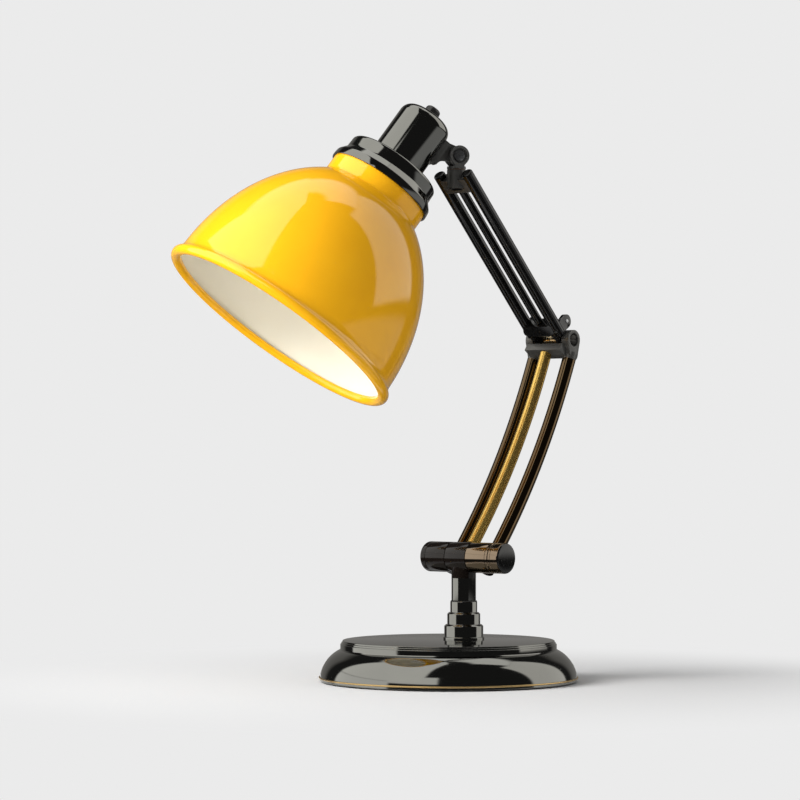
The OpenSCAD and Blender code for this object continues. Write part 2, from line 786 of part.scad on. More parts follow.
module elbow_bolt() {
    slot = 1.1;
    seat = yoke_half - ear_recess;
    color(steel_tone) at_shoulder() translate([0, 0, lower_len]) difference() {
        union() {
            rod_x(elbow_bolt_d, 0.2 - yoke_half, seat + 1);
            rod_x(elbow_head_d, seat, seat + elbow_head_t);
        }
        translate([seat + elbow_head_t, 0, 0]) rotate([35, 0, 0])
            cube([slot, elbow_head_d + 1, slot], center = true);
    }
}
module elbow_nut() {
    color(steel_tone) at_shoulder() translate([ear_recess - yoke_half, 0, lower_len]) rotate([0, -90, 0])
        hex_nut(elbow_nut_w, elbow_bolt_d + 2 * push_fit, 0, elbow_nut_t);
}
module elbow_washers() {
    color(fibre_tone) at_shoulder() translate([0, 0, lower_len]) both_sides()
        washer_x(2 * elbow_eye_r, elbow_bolt_d + 2 * push_fit, yoke_in - wash_t, yoke_in);
}
// Outline of one elbow ear: its eye, run up to the block that holds the tubes.
module elbow_ear_2d() {
    half = foot_block_t / 2;
    neck = elbow_eye_r - 0.6;
    circle(r = elbow_eye_r);
    polygon([[-neck, 2.4], [neck, 2.4], [half - upper_drop, foot_block_z0 + 1],
        [-half - upper_drop, foot_block_z0 + 1]]);
}
module elbow_knuckle() {
    color(gloss_black) at_elbow() difference() {
        union() {
            difference() {
                union() {
                    translate([-upper_spread, -foot_block_t / 2 - upper_drop, foot_block_z0])
                        cube([2 * upper_spread, foot_block_t, foot_block_z1 - foot_block_z0]);
                    both_sides() {
                        translate([upper_spread, -upper_drop, foot_low])
                            cylinder(d = upper_tube_d, h = upper_foot - foot_low);
                        plate_x(sleeve_half, elbow_half) elbow_ear_2d();
                        plate_x(lug_x0, lug_x1) translate([lug_y, lug_z])
                            link_2d(lug_r, upper_tube_d / 2, -lug_y - upper_drop, 1.4);
                    }
                }
                both_sides() translate([upper_spread, -upper_drop, upper_foot])
                    cylinder(d = upper_tube_d + 2 * push_fit, h = foot_block_z1);
            }
            both_sides() translate([upper_spread, -upper_drop, upper_foot - 1])
                cylinder(d = upper_plug_d, h = plug_len + 1);
        }
        rod_x(elbow_bolt_d + 2 * turn_fit, -elbow_half - 1, elbow_half + 1);
        translate([0, lug_y, lug_z]) rod_x(cross_pin_d + 2 * push_fit, -lug_x1 - 1, lug_x1 + 1);
        translate([0, -upper_drop, upper_foot])
            cylinder(d = upper_conduit_d + 2 * push_fit, h = foot_block_z1);
        translate([0, -upper_drop, foot_block_z0 - 1])
            cylinder(d = upper_conduit_d - 2 * tube_wall, h = foot_block_z1);
    }
}
module spacer_sleeve() {
    color(brass_tone) at_elbow()
        washer_x(sleeve_d, elbow_bolt_d + 2 * turn_fit, -sleeve_half, sleeve_half);
}
module cross_pin() {
    color(steel_tone) at_elbow() translate([0, lug_y, lug_z])
        rod_x(cross_pin_d, -lug_x1 - 0.5, lug_x1 + 0.5);
}

// ---- Upper arm ----

module upper_left_tube() {
    color(gloss_black) at_elbow() closed_tube(upper_tube_d, -upper_spread, upper_foot, upper_top);
}
module upper_right_tube() {
    color(gloss_black) at_elbow() closed_tube(upper_tube_d, upper_spread, upper_foot, upper_top);
}
module upper_conduit() {
    color(gloss_black) at_elbow() translate([0, -upper_drop, 0])
        ring_z(upper_conduit_d, upper_conduit_d - 2 * tube_wall, upper_foot, end_box_z0);
}
module head_end_block() {
    color(gloss_black) difference() {
        union() {
            difference() {
                union() {
                    at_elbow() translate([-upper_spread, -upper_drop - end_box_t / 2, end_box_z0])
                        cube([2 * upper_spread, end_box_t, end_box_z1 - end_box_z0]);
                    at_arm_end() translate([0, 0, boss_low]) cylinder(d = boss_d, h = boss_high - boss_low);
                }
                at_elbow() translate([0, -upper_drop, 0]) {
                    translate([0, 0, end_box_z0 - boss_d])
                        cylinder(d = upper_conduit_d + 2 * clear, h = boss_d);
                    both_sides() translate([upper_spread, 0, end_box_z0 - 1])
                        cylinder(d = upper_tube_d + 2 * push_fit, h = upper_top - end_box_z0 + 2);
                }
            }
            at_elbow() translate([0, -upper_drop, end_box_z0 - plug_len])
                cylinder(d = conduit_plug_d, h = plug_len + 1);
        }
        at_elbow() translate([0, -upper_drop, end_box_z0 - plug_len - 1])
            cylinder(d = conduit_plug_bore, h = plug_len + 3);
        at_arm_end() {
            translate([0, 0, boss_low - 1])
                cylinder(d = swivel_d + 2 * turn_fit, h = boss_high - boss_low + 2);
            translate([0, 0, boss_low - 1])
                cylinder(d = swivel_nut_w / cos(30) + 2 * clear, h = nut_pocket + 1);
        }
    }
}
module swivel_washer() {
    color(fibre_tone) at_arm_end()
        ring_z(boss_d - 1, swivel_d + 2 * clear, boss_high, boss_high + swivel_wash_t);
}

// ---- Swivel knuckle ----

module swivel_knuckle() {
    foot_half = 3.6;
    color(gloss_black) at_swivel() difference() {
        union() {
            translate([0, 0, knuckle_z]) cylinder(d = boss_d, h = knuckle_disc_t);
            translate([0, 0, boss_low + 0.4]) cylinder(d = swivel_d, h = knuckle_z - boss_low + 0.6);
            plate_x(-ear_left, -ear_in) ear_2d(foot_half);
            plate_x(ear_in, ear_right) ear_2d(foot_half);
        }
        translate([0, 0, tilt_rise]) {
            rod_x(tilt_bolt_d + 2 * push_fit, -ear_left - 1, ear_right + 1);
            rod_x(ear_recess_d + 0.8, ear_right - ear_recess, ear_right + 1);
        }
    }
}
// Outline of an ear of the swivel knuckle: a drop that narrows towards its foot.
module ear_2d(foot_half) {
    translate([0, tilt_rise]) link_2d(ear_r, foot_half, 0, knuckle_z + foot_half - tilt_rise);
    translate([-foot_half, knuckle_z]) square([2 * foot_half, foot_half]);
}
module swivel_nut() {
    top = boss_low + nut_pocket - play;
    color(steel_tone) at_swivel() hex_nut(swivel_nut_w, swivel_d + 2 * push_fit, top - swivel_nut_h, top);
}
module tilt_washers() {
    color(fibre_tone) at_tilt() both_sides()
        washer_x(2 * tongue_r, tilt_bolt_d + 2 * push_fit, ear_in - tilt_wash_t, ear_in);
}
module tilt_bolt() {
    slot = 1.2;
    seat = ear_right - ear_recess;
    color(steel_tone) at_tilt() difference() {
        union() {
            rod_x(tilt_bolt_d, -ear_left - tilt_nut_t + 0.6, seat + 1);
            rod_x(tilt_head_d, seat, seat + tilt_head_t);
        }
        translate([seat + tilt_head_t, 0, 0]) rotate([-30, 0, 0])
            cube([slot, tilt_head_d + 1, slot], center = true);
    }
}
module tilt_nut() {
    color(gloss_black) at_tilt() translate([-ear_left, 0, 0]) rotate([0, -90, 0])
        hex_nut(tilt_nut_w, tilt_bolt_d + 2 * push_fit, 0, tilt_nut_t);
}

// ---- Head bracket, tilting with the head ----

// Outline of the tongue: the eye, the pad on the housing and a hollow curve below.
module tongue_2d() {
    wall_y = housing_d / 2 - 1;
    hollow_r = 9;
    difference() {
        union() {
            translate([head_reach, head_drop]) circle(r = tongue_r);
            polygon([[wall_y, pad_high], [head_reach - 0.9, head_drop + tongue_r - 0.06],
                [head_reach + tongue_r - 0.06, head_drop - 0.9], [head_reach, head_drop - tongue_r],
                [wall_y + 5, pad_low], [wall_y, pad_low]]);
        }
        translate([head_reach - 0.6, head_drop - tongue_r - hollow_r - 0.4]) circle(r = hollow_r);
    }
}
module head_bracket() {
    color(gloss_black) at_head() difference() {
        union() {
            plate_x(-tongue_t / 2, tongue_t / 2) tongue_2d();
            translate([-pad_half, housing_d / 2 - 2, pad_low])
                cube([2 * pad_half, pad_t + 2, pad_high - pad_low]);
        }
        cylinder(d = housing_d + 2 * push_fit, h = housing_top);
        translate([0, head_reach, head_drop])
            rod_x(tilt_bolt_d + 2 * turn_fit, -tongue_t, tongue_t);
        for (z = bracket_screw_z) translate([0, 0, z]) rotate([-90, 0, 0])
            cylinder(d = bracket_screw_d + 2 * push_fit, h = housing_d / 2 + 2.4);
    }
}
module bracket_screws() {
    head_t = 1.6;
    inner = housing_d / 2 - housing_wall - 0.4;
    color(steel_tone) at_head() for (z = bracket_screw_z) translate([0, 0, z]) rotate([-90, 0, 0]) {
        translate([0, 0, inner - head_t]) cylinder(d = 2 * bracket_screw_d, h = head_t);
        translate([0, 0, inner - eps]) cylinder(d = bracket_screw_d, h = housing_wall + 2.2);
    }
}

// ---- Head ----

// Half section of the housing, inset from its outer surface.
module housing_section(inset) {
    r = housing_round;
    top = housing_top - inset;
    x = housing_d / 2 - inset;
    translate([0, collar_top]) square([x, housing_top - housing_round - collar_top]);
    translate([0, collar_top]) square([housing_d / 2 - r, top - collar_top]);
    intersection() {
        translate([housing_d / 2 - r, housing_top - r]) circle(r = r - inset);
        translate([0, housing_top - r]) square([x, r]);
    }
}
module socket_housing() {
    color(gloss_black) at_head() difference() {
        rotate_extrude($fn = 96) difference() {
            housing_section(0);
            difference() {
                housing_section(housing_wall);
                square([housing_d, collar_top + housing_wall]);
            }
        }
        translate([0, 0, collar_top - 1]) cylinder(d = collar_hole_d, h = housing_wall + 2);
        translate([0, 0, housing_top - 4]) cylinder(d = bushing_d + 2 * push_fit, h = 6);
        for (z = bracket_screw_z) translate([0, 0, z]) rotate([-90, 0, 0])
            cylinder(d = bracket_screw_d + 2 * push_fit, h = housing_d);
    }
}
module holder_nut() {
    color(steel_tone) at_head()
        ring_z(holder_nut_d, holder_neck_d + 2 * push_fit, holder_nut_z, holder_nut_z + holder_nut_t);
}
// Outer edge of the shade collar from its top face down to its flared foot.
function collar_edge(inset) = let (
    round_r = 2.8,
    upper = collar_upper_d / 2 - inset,
    lower = collar_lower_d / 2 - inset,
    flare_z = 15.4,
    flare = lower - upper - 0.5)
    concat(
        [for (a = [90 : -15 : 0]) [upper - round_r + inset + (round_r - inset) * cos(a),
            collar_top - round_r + (round_r - inset) * sin(a)]],
        [for (t = [0 : 0.125 : 1]) [upper + 0.5 + flare * (1 - cos(180 * t)) / 2,
            flare_z - (flare_z - 6.4) * t]]);
module shade_collar() {
    outer = collar_edge(0);
    inner = collar_edge(collar_wall);
    color(gloss_black) at_head() difference() {
        rotate_extrude($fn = 96) difference() {
            polygon(concat([[0, collar_top]], outer, [[collar_lower_d / 2, collar_foot], [0, collar_foot]]));
            polygon(concat([[0, collar_plate_z]], inner,
                [[collar_lower_d / 2 - collar_wall, collar_foot - 1], [0, collar_foot - 1]]));
        }
        translate([0, 0, collar_plate_z - 1]) cylinder(d = collar_hole_d, h = collar_wall + 2);
    }
}
// Quarter ellipse of the dome, from the neck down to its widest level.
function dome_points(inset, count = 30) = let (
    r = dome_d / 2 - inset,
    h = dome_h - inset,
    from = asin((neck_d / 2 - inset) / r))
    [for (i = [0 : count]) let (a = from + (90 - from) * i / count)
        [r * sin(a), -dome_drop + h * cos(a)]];
module shade() {
    round_r = 3;
    corner_x = neck_d / 2 - round_r;
    corner_z = crown_z - round_r;
    hole_r = holder_d / 2 + clear;
    lip_x = rim_d / 2 - rim_r;
    inner_r = round_r - shade_wall;
    wall = dome_points(shade_wall);
    color(shade_yellow) at_head() {
        rotate_extrude($fn = 180) polygon(concat(
            [[hole_r, crown_z - shade_wall], [hole_r, crown_z]],
            [for (a = [90 : -15 : 0]) [corner_x + round_r * cos(a), corner_z + round_r * sin(a)]],
            [for (i = [0 : len(wall) - 2]) dome_points(0)[i]],
            [[dome_d / 2 + 1.2, lip_z + 6.6], [lip_x + 1.2, lip_z + 2.8], [lip_x + 1.2, lip_z + 0.5],
                [dome_d / 2 - shade_wall, lip_z]],
            [for (i = [len(wall) - 1 : -1 : 0]) wall[i]],
            [for (a = [0 : 15 : 90]) [corner_x + inner_r * cos(a), corner_z + inner_r * sin(a)]]));
        rotate_extrude($fn = 180) translate([lip_x, lip_z]) circle(r = rim_r);
    }
}
module shade_ring() {
    top = crown_z - shade_wall;
    notch = 3;
    color(ceramic_tone) at_head() difference() {
        ring_z(ring_d, holder_d + 2 * push_fit, top - ring_t, top);
        for (i = [0 : 7]) rotate(45 * i) translate([ring_d / 2, 0, top - ring_t - eps])
            cylinder(d = notch, h = ring_t - 1.4);
    }
}
module lampholder() {
    color(ceramic_tone) at_head() difference() {
        union() {
            translate([0, 0, holder_low]) cylinder(d = holder_d, h = collar_plate_z - holder_low);
            translate([0, 0, crown_z]) cylinder(d = holder_flange_d, h = holder_flange_t);
            translate([0, 0, collar_plate_z - 1])
                cylinder(d = holder_neck_d, h = holder_high - collar_plate_z + 1);
        }
        translate([0, 0, holder_low - 1]) cylinder(d = holder_bore, h = holder_floor - holder_low + 1);
        translate([0, 0, holder_floor + 4]) cylinder(d = holder_bore - 2, h = holder_high);
        for (x = [-7, 7]) translate([x, 0, holder_floor - 1]) cylinder(d = 3, h = 8);
    }
}
module contact_tongue() {
    strip_w = 6;
    strip_t = 0.5;
    color(brass_tone) at_head() {
        translate([-strip_w / 2, -9, holder_floor - strip_t]) cube([strip_w, 12, strip_t]);
        translate([-strip_w / 2, -5, cap_high + 1.6]) cube([strip_w, 10, strip_t]);
        translate([-strip_w / 2, -5, cap_high + 1.6])
            cube([strip_w, strip_t, holder_floor - cap_high - 1.6]);
    }
}
module bulb_cap() {
    color(steel_tone) at_head() union() {
        translate([0, 0, cap_low]) cylinder(d = screw_cap_d, h = 20);
        translate([0, 0, cap_low + 20]) cylinder(d1 = screw_cap_d, d2 = 11, h = cap_high - cap_low - 20);
        translate([0, 0, cap_high]) cylinder(d = 9, h = 1.6);
    }
}
// Outer edge of the bulb's glass from the globe's pole up its cone to the neck.
function glass_points(inset) = let (
    r = globe_d / 2 - inset,
    neck_r = screw_cap_d / 2 - 1.4 - inset,
    span = cap_low - 10 - globe_z,
    lean = asin((r - neck_r) / span))
    concat([for (i = [0 : 20]) let (a = -90 + (90 + lean) * i / 20) [r * cos(a), globe_z + r * sin(a)]],
        [[neck_r, cap_low - 10 + neck_r * sin(lean)], [neck_r, cap_low]]);
module bulb_glass() {
    outer = glass_points(0);
    inner = glass_points(glass_wall);
    color("white") at_head() rotate_extrude($fn = 96)
        polygon(concat(outer, [for (i = [len(inner) - 1 : -1 : 0]) inner[i]]));
}
module rotary_switch() {
    color(rubber_tone) at_head() difference() {
        union() {
            translate([0, 0, switch_body_z]) cylinder(d = switch_body_d, h = switch_body_h);
            translate([0, 0, switch_body_z]) cylinder(d = switch_shoulder_d,
                h = housing_top - housing_wall - switch_body_z);
            translate([0, 0, switch_body_z]) cylinder(d = bushing_d, h = bushing_top - switch_body_z);
        }
        translate([0, 0, bushing_top - 12]) cylinder(d = spindle_d + 2 * turn_fit, h = 14);
    }
}
module switch_nut() {
    color(gloss_black) at_head()
        hex_nut(switch_nut_w, bushing_d + 2 * push_fit, housing_top, housing_top + switch_nut_t);
}
module switch_knob() {
    color(gloss_black) at_head() {
        intersection() {
            translate([0, 0, knob_z]) cylinder(d = switch_knob_d, h = switch_knob_h, $fn = knob_sides);
            translate([0, 0, knob_z]) cylinder(d1 = switch_knob_d + switch_knob_h, d2 = switch_knob_d * 0.86,
                h = switch_knob_h, $fn = 64);
        }
        translate([0, 0, bushing_top - 9]) cylinder(d = spindle_d, h = 9 + play + eps);
    }
}

base_cover();
trim_ring();
ballast_plate();
bottom_plate();
felt_pad();
bottom_screws();
cord_grommet();
stepped_collar();
threaded_nipple();
nipple_washer();
nipple_nut();
stem_grub_screw();
stem_washer();
stem_tube();
centre_knuckle();
left_knuckle();
right_knuckle();
shoulder_washers();
shoulder_bolt();
left_end_cap();
tension_knob();
lower_left_tube();
lower_right_tube();
lower_conduit();
lower_bridge();
elbow_yoke();
elbow_bolt();
elbow_nut();
elbow_washers();
elbow_knuckle();
spacer_sleeve();
cross_pin();
upper_left_tube();
upper_right_tube();
upper_conduit();
head_end_block();
swivel_washer();
swivel_knuckle();
swivel_nut();
tilt_washers();
head_bracket();
bracket_screws();
tilt_bolt();
tilt_nut();
socket_housing();
holder_nut();
shade_collar();
shade();
shade_ring();
lampholder();
contact_tongue();
bulb_cap();
bulb_glass();
rotary_switch();
switch_nut();
switch_knob();
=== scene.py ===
import math
import bmesh
import bpy
from mathutils import Matrix, Vector


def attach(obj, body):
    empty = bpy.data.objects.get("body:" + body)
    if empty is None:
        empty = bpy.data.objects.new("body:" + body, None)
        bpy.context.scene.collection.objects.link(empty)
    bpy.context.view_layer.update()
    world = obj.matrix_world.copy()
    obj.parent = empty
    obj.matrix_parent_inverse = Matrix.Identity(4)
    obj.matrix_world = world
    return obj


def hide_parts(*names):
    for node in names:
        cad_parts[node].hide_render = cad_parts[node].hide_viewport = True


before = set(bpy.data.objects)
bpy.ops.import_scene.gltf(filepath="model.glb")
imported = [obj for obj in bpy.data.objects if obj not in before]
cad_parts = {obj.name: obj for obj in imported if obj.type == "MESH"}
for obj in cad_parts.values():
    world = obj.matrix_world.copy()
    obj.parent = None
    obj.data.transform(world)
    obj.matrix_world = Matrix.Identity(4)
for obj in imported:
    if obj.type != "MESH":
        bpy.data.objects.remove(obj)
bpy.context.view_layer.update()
print("frame loaded")

# every piece is made in millimetres, in the lamp's own joint frames, and placed in metres
toMetres, toMillimetres = Matrix.Scale(0.001, 4), Matrix.Scale(1000, 4)


def turn(axis, degrees):
    return Matrix.Rotation(math.radians(degrees), 4, axis)


def shift(x, y, z):
    return Matrix.Translation((x, y, z))


lampPose = {
    "postBack": 18, "shoulderHeight": 91, "lowerLean": 33.8, "lowerLength": 197.6,
    "elbowOpening": 78.5, "upperDrop": 2.8, "upperLength": 165.5, "upperLean": 44.7,
    "headTurn": 32, "tiltRise": 17.6, "headTilt": 36.3, "headReach": 34.3, "headDrop": 58,
}
atBase = Matrix.Identity(4)
atPost = shift(0, lampPose["postBack"], 0)
atShoulder = atPost @ shift(0, 0, lampPose["shoulderHeight"]) @ turn("X", -lampPose["lowerLean"])
atElbow = atShoulder @ shift(0, 0, lampPose["lowerLength"]) @ turn("X", lampPose["elbowOpening"])
atArmEnd = (atElbow @ shift(0, -lampPose["upperDrop"], lampPose["upperLength"])
            @ turn("X", -lampPose["upperLean"]))
atSwivel = atArmEnd @ turn("Z", -lampPose["headTurn"])
atTilt = atSwivel @ shift(0, 0, lampPose["tiltRise"])
atHead = (atTilt @ turn("X", -lampPose["headTilt"])
          @ shift(0, -lampPose["headReach"], -lampPose["headDrop"]))
alongX = turn("Y", 90)    # turns a lathe's +Z to +X


# shaping tools

def link(name, mesh):
    obj = bpy.data.objects.new(name, mesh)
    bpy.context.collection.objects.link(obj)
    return obj


def objectFrom(name, bm):
    bmesh.ops.recalc_face_normals(bm, faces=bm.faces)
    mesh = bpy.data.meshes.new(name)
    bm.to_mesh(mesh)
    bm.free()
    return link(name, mesh)


def settle(obj):
    # replaces the mesh with what its modifiers make of it
    graph = bpy.context.evaluated_depsgraph_get()
    mesh = bpy.data.meshes.new_from_object(obj.evaluated_get(graph))
    obj.modifiers.clear()
    old = obj.data
    obj.data = mesh
    bpy.data.meshes.remove(old)
    return obj


def combine(body, tools, operation="UNION"):
    for tool in tools:
        mod = body.modifiers.new("shape", "BOOLEAN")
        mod.operation = operation
        mod.solver = "EXACT"
        mod.object = tool
        settle(body)
        bpy.data.objects.remove(tool)
    return body


def rounded(points, step=10, closed=False):
    # points are (across, up) or (across, up, radius); corners with a radius become arcs
    out = []
    count = len(points)
    longest = 0.49    # share of a side that one corner may take
    for i, point in enumerate(points):
        here = Vector(point[:2])
        radius = point[2] if len(point) > 2 else 0
        if radius <= 0 or (not closed and i in (0, count - 1)):
            out.append((here.x, here.y))
            continue
        before = Vector(points[i - 1][:2]) - here
        after = Vector(points[(i + 1) % count][:2]) - here
        half = before.angle(after) / 2
        reach = min(radius / math.tan(half), longest * before.length, longest * after.length)
        radius = reach * math.tan(half)
        start = here + before.normalized() * reach
        end = here + after.normalized() * reach
        inward = (before.normalized() + after.normalized()).normalized()
        middle = here + inward * radius / math.sin(half)
        first = math.atan2(start.y - middle.y, start.x - middle.x)
        last = math.atan2(end.y - middle.y, end.x - middle.x)
        sweepAngle = (last - first + math.pi) % (2 * math.pi) - math.pi
        parts = max(2, math.ceil(abs(math.degrees(sweepAngle)) / step))
        for k in range(parts + 1):
            angle = first + sweepAngle * k / parts
            out.append((middle.x + radius * math.cos(angle), middle.y + radius * math.sin(angle)))
    return out


def arc(x, y, radius, first, last, parts):
    angles = [math.radians(first + (last - first) * k / parts) for k in range(parts + 1)]
    return [(x + radius * math.cos(angle), y + radius * math.sin(angle)) for angle in angles]


def lathe(name, profile, steps=96, closed=False, marks=None):
    # profile is (radius, height); marks gives the finish of the band after each point
    bm = bmesh.new()
    onAxis = 1e-5
    angles = [2 * math.pi * k / steps for k in range(steps)]
    rings = []
    for radius, height in profile:
        if radius < onAxis:
            rings.append([bm.verts.new((0, 0, height))])
        else:
            rings.append([bm.verts.new((radius * math.cos(angle), radius * math.sin(angle), height))
                          for angle in angles])
    count = len(rings) if closed else len(rings) - 1
    for i in range(count):
        low, high = rings[i], rings[(i + 1) % len(rings)]
        for k in range(steps):
            n = (k + 1) % steps
            if len(low) == 1 and len(high) == 1:
                continue
            if len(low) == 1:
                face = bm.faces.new((low[0], high[k], high[n]))
            elif len(high) == 1:
                face = bm.faces.new((low[k], high[0], low[n]))
            else:
                face = bm.faces.new((low[k], high[k], high[n], low[n]))
            if marks:
                face.material_index = marks[i]
    return objectFrom(name, bm)


def skinRings(bm, low, high):
    for k in range(len(low)):
        n = (k + 1) % len(low)
        bm.faces.new((low[k], high[k], high[n], low[n]))


def slab(name, outline, x0, x1):
    # a plate whose outline is (y, z), between x0 and x1
    bm = bmesh.new()
    near = [bm.verts.new((x0, y, z)) for y, z in outline]
    far = [bm.verts.new((x1, y, z)) for y, z in outline]
    bm.faces.new(near)
    bm.faces.new(list(reversed(far)))
    skinRings(bm, near, far)
    return objectFrom(name, bm)


def block(name, low, high):
    return slab(name, [(low[1], low[2]), (high[1], low[2]), (high[1], high[2]), (low[1], high[2])],
                low[0], high[0])


def rod(name, radius, z0, z1, at=None, steps=48, edge=0):
    obj = lathe(name, rounded([(0, z0), (radius, z0, edge), (radius, z1, edge), (0, z1)], step=22), steps)
    if at:
        obj.data.transform(at)
    return obj


def sweepTube(name, centres, radius, steps=40):
    # a tube through the centres, with closed ends
    bm = bmesh.new()
    rings = []
    centres = [Vector(centre) for centre in centres]
    side = Vector((1, 0, 0))
    for i, centre in enumerate(centres):
        ahead = centres[min(i + 1, len(centres) - 1)] - centres[max(i - 1, 0)]
        ahead.normalize()
        across = side.cross(ahead).normalized()
        rings.append([bm.verts.new(centre + radius * (side * math.cos(2 * math.pi * k / steps)
                      + across * math.sin(2 * math.pi * k / steps))) for k in range(steps)])
    for low, high in zip(rings, rings[1:]):
        skinRings(bm, low, high)
    bm.faces.new(rings[0])
    bm.faces.new(list(reversed(rings[-1])))
    return objectFrom(name, bm)


def linkOutline(y0, z0, r0, y1, z1, r1, parts=20):
    # outline round two circles joined by their tangents
    span = math.hypot(y1 - y0, z1 - z0)
    heading = math.degrees(math.atan2(z1 - z0, y1 - y0))
    lean = math.degrees(math.acos((r0 - r1) / span))
    return (arc(y0, z0, r0, heading + lean, heading + 360 - lean, 2 * parts)
            + arc(y1, z1, r1, heading - lean, heading + lean, parts))


def softenEdges(obj, width, segments=3, angle=30):
    mod = obj.modifiers.new("edges", "BEVEL")
    mod.width = width
    mod.segments = segments
    mod.limit_method = "ANGLE"
    mod.angle_limit = math.radians(angle)
    mod.use_clamp_overlap = True
    mod.harden_normals = False
    return settle(obj)


def finishPiece(obj, node, body, looks, smooth):
    # smooth faces with crisp edges, its finishes, and its place in the frame
    obj.data.shade_smooth()
    obj.data.set_sharp_from_angle(angle=math.radians(smooth))
    if len(obj.data.materials):
        obj.data.materials.clear()
    for look in looks:
        obj.data.materials.append(finishes[look])
    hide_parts(node)
    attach(obj, body)


def place(obj, where, body, node, looks, smooth=30):
    # a finished piece, built here, that stands for a CAD node
    obj.data.transform(toMetres @ where)
    obj.data.update()
    finishPiece(obj, node, body, looks, smooth)


dressing = {"weld": 2e-6, "flat": 1, "crease": 32, "segments": 2}


def dressNode(node, body, look, width):
    # a small CAD piece, merged, with its edges softened
    bm = bmesh.new()
    bm.from_mesh(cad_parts[node].data)
    bmesh.ops.remove_doubles(bm, verts=bm.verts, dist=dressing["weld"])
    bmesh.ops.dissolve_limit(bm, angle_limit=math.radians(dressing["flat"]), verts=bm.verts, edges=bm.edges)
    mesh = bpy.data.meshes.new(node + "Dressed")
    bm.to_mesh(mesh)
    bm.free()
    obj = link(node + "Dressed", mesh)
    softenEdges(obj, width * 0.001, dressing["segments"], dressing["crease"])
    finishPiece(obj, node, body, [look], dressing["crease"])


def dressInPlace(looks):
    # CAD pieces that show as they are: only their finish changes
    for node, look in looks.items():
        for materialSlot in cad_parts[node].material_slots:
            materialSlot.material = finishes[look]


# finishes

def fill(tree, node, inputs):
    for key, value in inputs.items():
        if isinstance(value, bpy.types.NodeSocket):
            tree.links.new(value, node.inputs[key])
        else:
            node.inputs[key].default_value = value
    return node


def put(tree, kind, inputs=None, **settings):
    node = tree.nodes.new(kind)
    for key, value in settings.items():
        setattr(node, key, value)
    return fill(tree, node, inputs or {})


def sums(tree, operation, *values, clamp=False):
    # one arithmetic step, as its result
    return put(tree, "ShaderNodeMath", dict(enumerate(values)), operation=operation,
               use_clamp=clamp).outputs[0]


def noise(tree, where, size, detail, roughness=0.5):
    return put(tree, "ShaderNodeTexNoise", {"Vector": where, "Scale": size, "Detail": detail,
               "Roughness": roughness}).outputs["Fac"]


def remap(tree, value, low, high, first=0.0, last=1.0, curve="LINEAR"):
    return put(tree, "ShaderNodeMapRange", {"Value": value, "From Min": low, "From Max": high,
               "To Min": first, "To Max": last}, interpolation_type=curve).outputs[0]


def relief(tree, height, strength, distance):
    return put(tree, "ShaderNodeBump", {"Strength": strength, "Distance": distance,
               "Height": height}).outputs["Normal"]


def mixColors(tree, factor, first, second, blend="MIX"):
    return put(tree, "ShaderNodeMix", {0: factor, 6: first, 7: second}, data_type="RGBA",
               blend_type=blend).outputs[2]


def newGroup(name, inputs, outputs, kind="ShaderNodeTree"):
    # an input is given as its start value, or as the kind of a socket that has none
    group = bpy.data.node_groups.new(name, kind)
    kinds = {float: "Float", int: "Int", tuple: "Color"}
    for label, value in inputs.items():
        socketKind = kinds.get(type(value), value)
        socket = group.interface.new_socket(label, in_out="INPUT", socket_type="NodeSocket" + socketKind)
        if socketKind != value:
            socket.default_value = value
    for label, socketKind in outputs.items():
        group.interface.new_socket(label, in_out="OUTPUT", socket_type="NodeSocket" + socketKind)
    return group, group.nodes.new("NodeGroupInput").outputs, group.nodes.new("NodeGroupOutput").inputs


def useGroup(tree, group, inputs):
    node = tree.nodes.new("ShaderNodeGroup")
    node.node_tree = group
    return fill(tree, node, inputs).outputs


def orangePeelGroup():
    # the slight waviness of sprayed and baked enamel: a fine one on a broad one
    group, into, out = newGroup("orangePeel", {"Vector": "Vector", "Size": 900.0, "Strength": 0.05},
                                {"Normal": "Vector"})
    broadSize, broadShare, depth = 0.11, 2.2, 0.0002
    fine = noise(group, into["Vector"], into["Size"], 1.5, 0.45)
    broad = noise(group, into["Vector"], sums(group, "MULTIPLY", into["Size"], broadSize), 1.0)
    both = sums(group, "MULTIPLY_ADD", broad, broadShare, fine)
    group.links.new(relief(group, both, into["Strength"], depth), out["Normal"])
    return group


def specksGroup():
    # lint and dust: small bright specks scattered over a surface
    group, into, out = newGroup("specks", {"Vector": "Vector", "Size": 700.0, "Amount": 0.2},
                                {"Mask": "Float"})
    core, rim = 0.10, 0.22    # shares of a cell
    cells = put(group, "ShaderNodeTexVoronoi", {"Vector": into["Vector"], "Scale": into["Size"],
                "Randomness": 1.0}).outputs
    chance = put(group, "ShaderNodeSeparateColor", {"Color": cells["Color"]}).outputs[0]
    chosen = sums(group, "LESS_THAN", chance, into["Amount"])
    near = remap(group, cells["Distance"], core, rim, 1.0, 0.0)
    group.links.new(sums(group, "MULTIPLY", chosen, near), out["Mask"])
    return group


def scuffsGroup():
    # hairline scratches in two directions
    group, into, out = newGroup("scuffs", {"Vector": "Vector", "Size": 120.0, "Amount": 0.3},
                                {"Mask": "Float"})
    low, high = 0.66, 0.74    # of the noise that shows as a scratch
    masks = []
    for angles, stretch in (((0.3, 0.5, 0.9), (1, 26, 26)), ((1.1, -0.4, 2.2), (22, 1, 22))):
        turned = put(group, "ShaderNodeMapping", {"Vector": into["Vector"], "Rotation": angles,
                     "Scale": stretch}).outputs[0]
        masks.append(remap(group, noise(group, turned, into["Size"], 2.0, 0.6), low, high))
    most = sums(group, "MAXIMUM", *masks)
    group.links.new(sums(group, "MULTIPLY", most, into["Amount"]), out["Mask"])
    return group


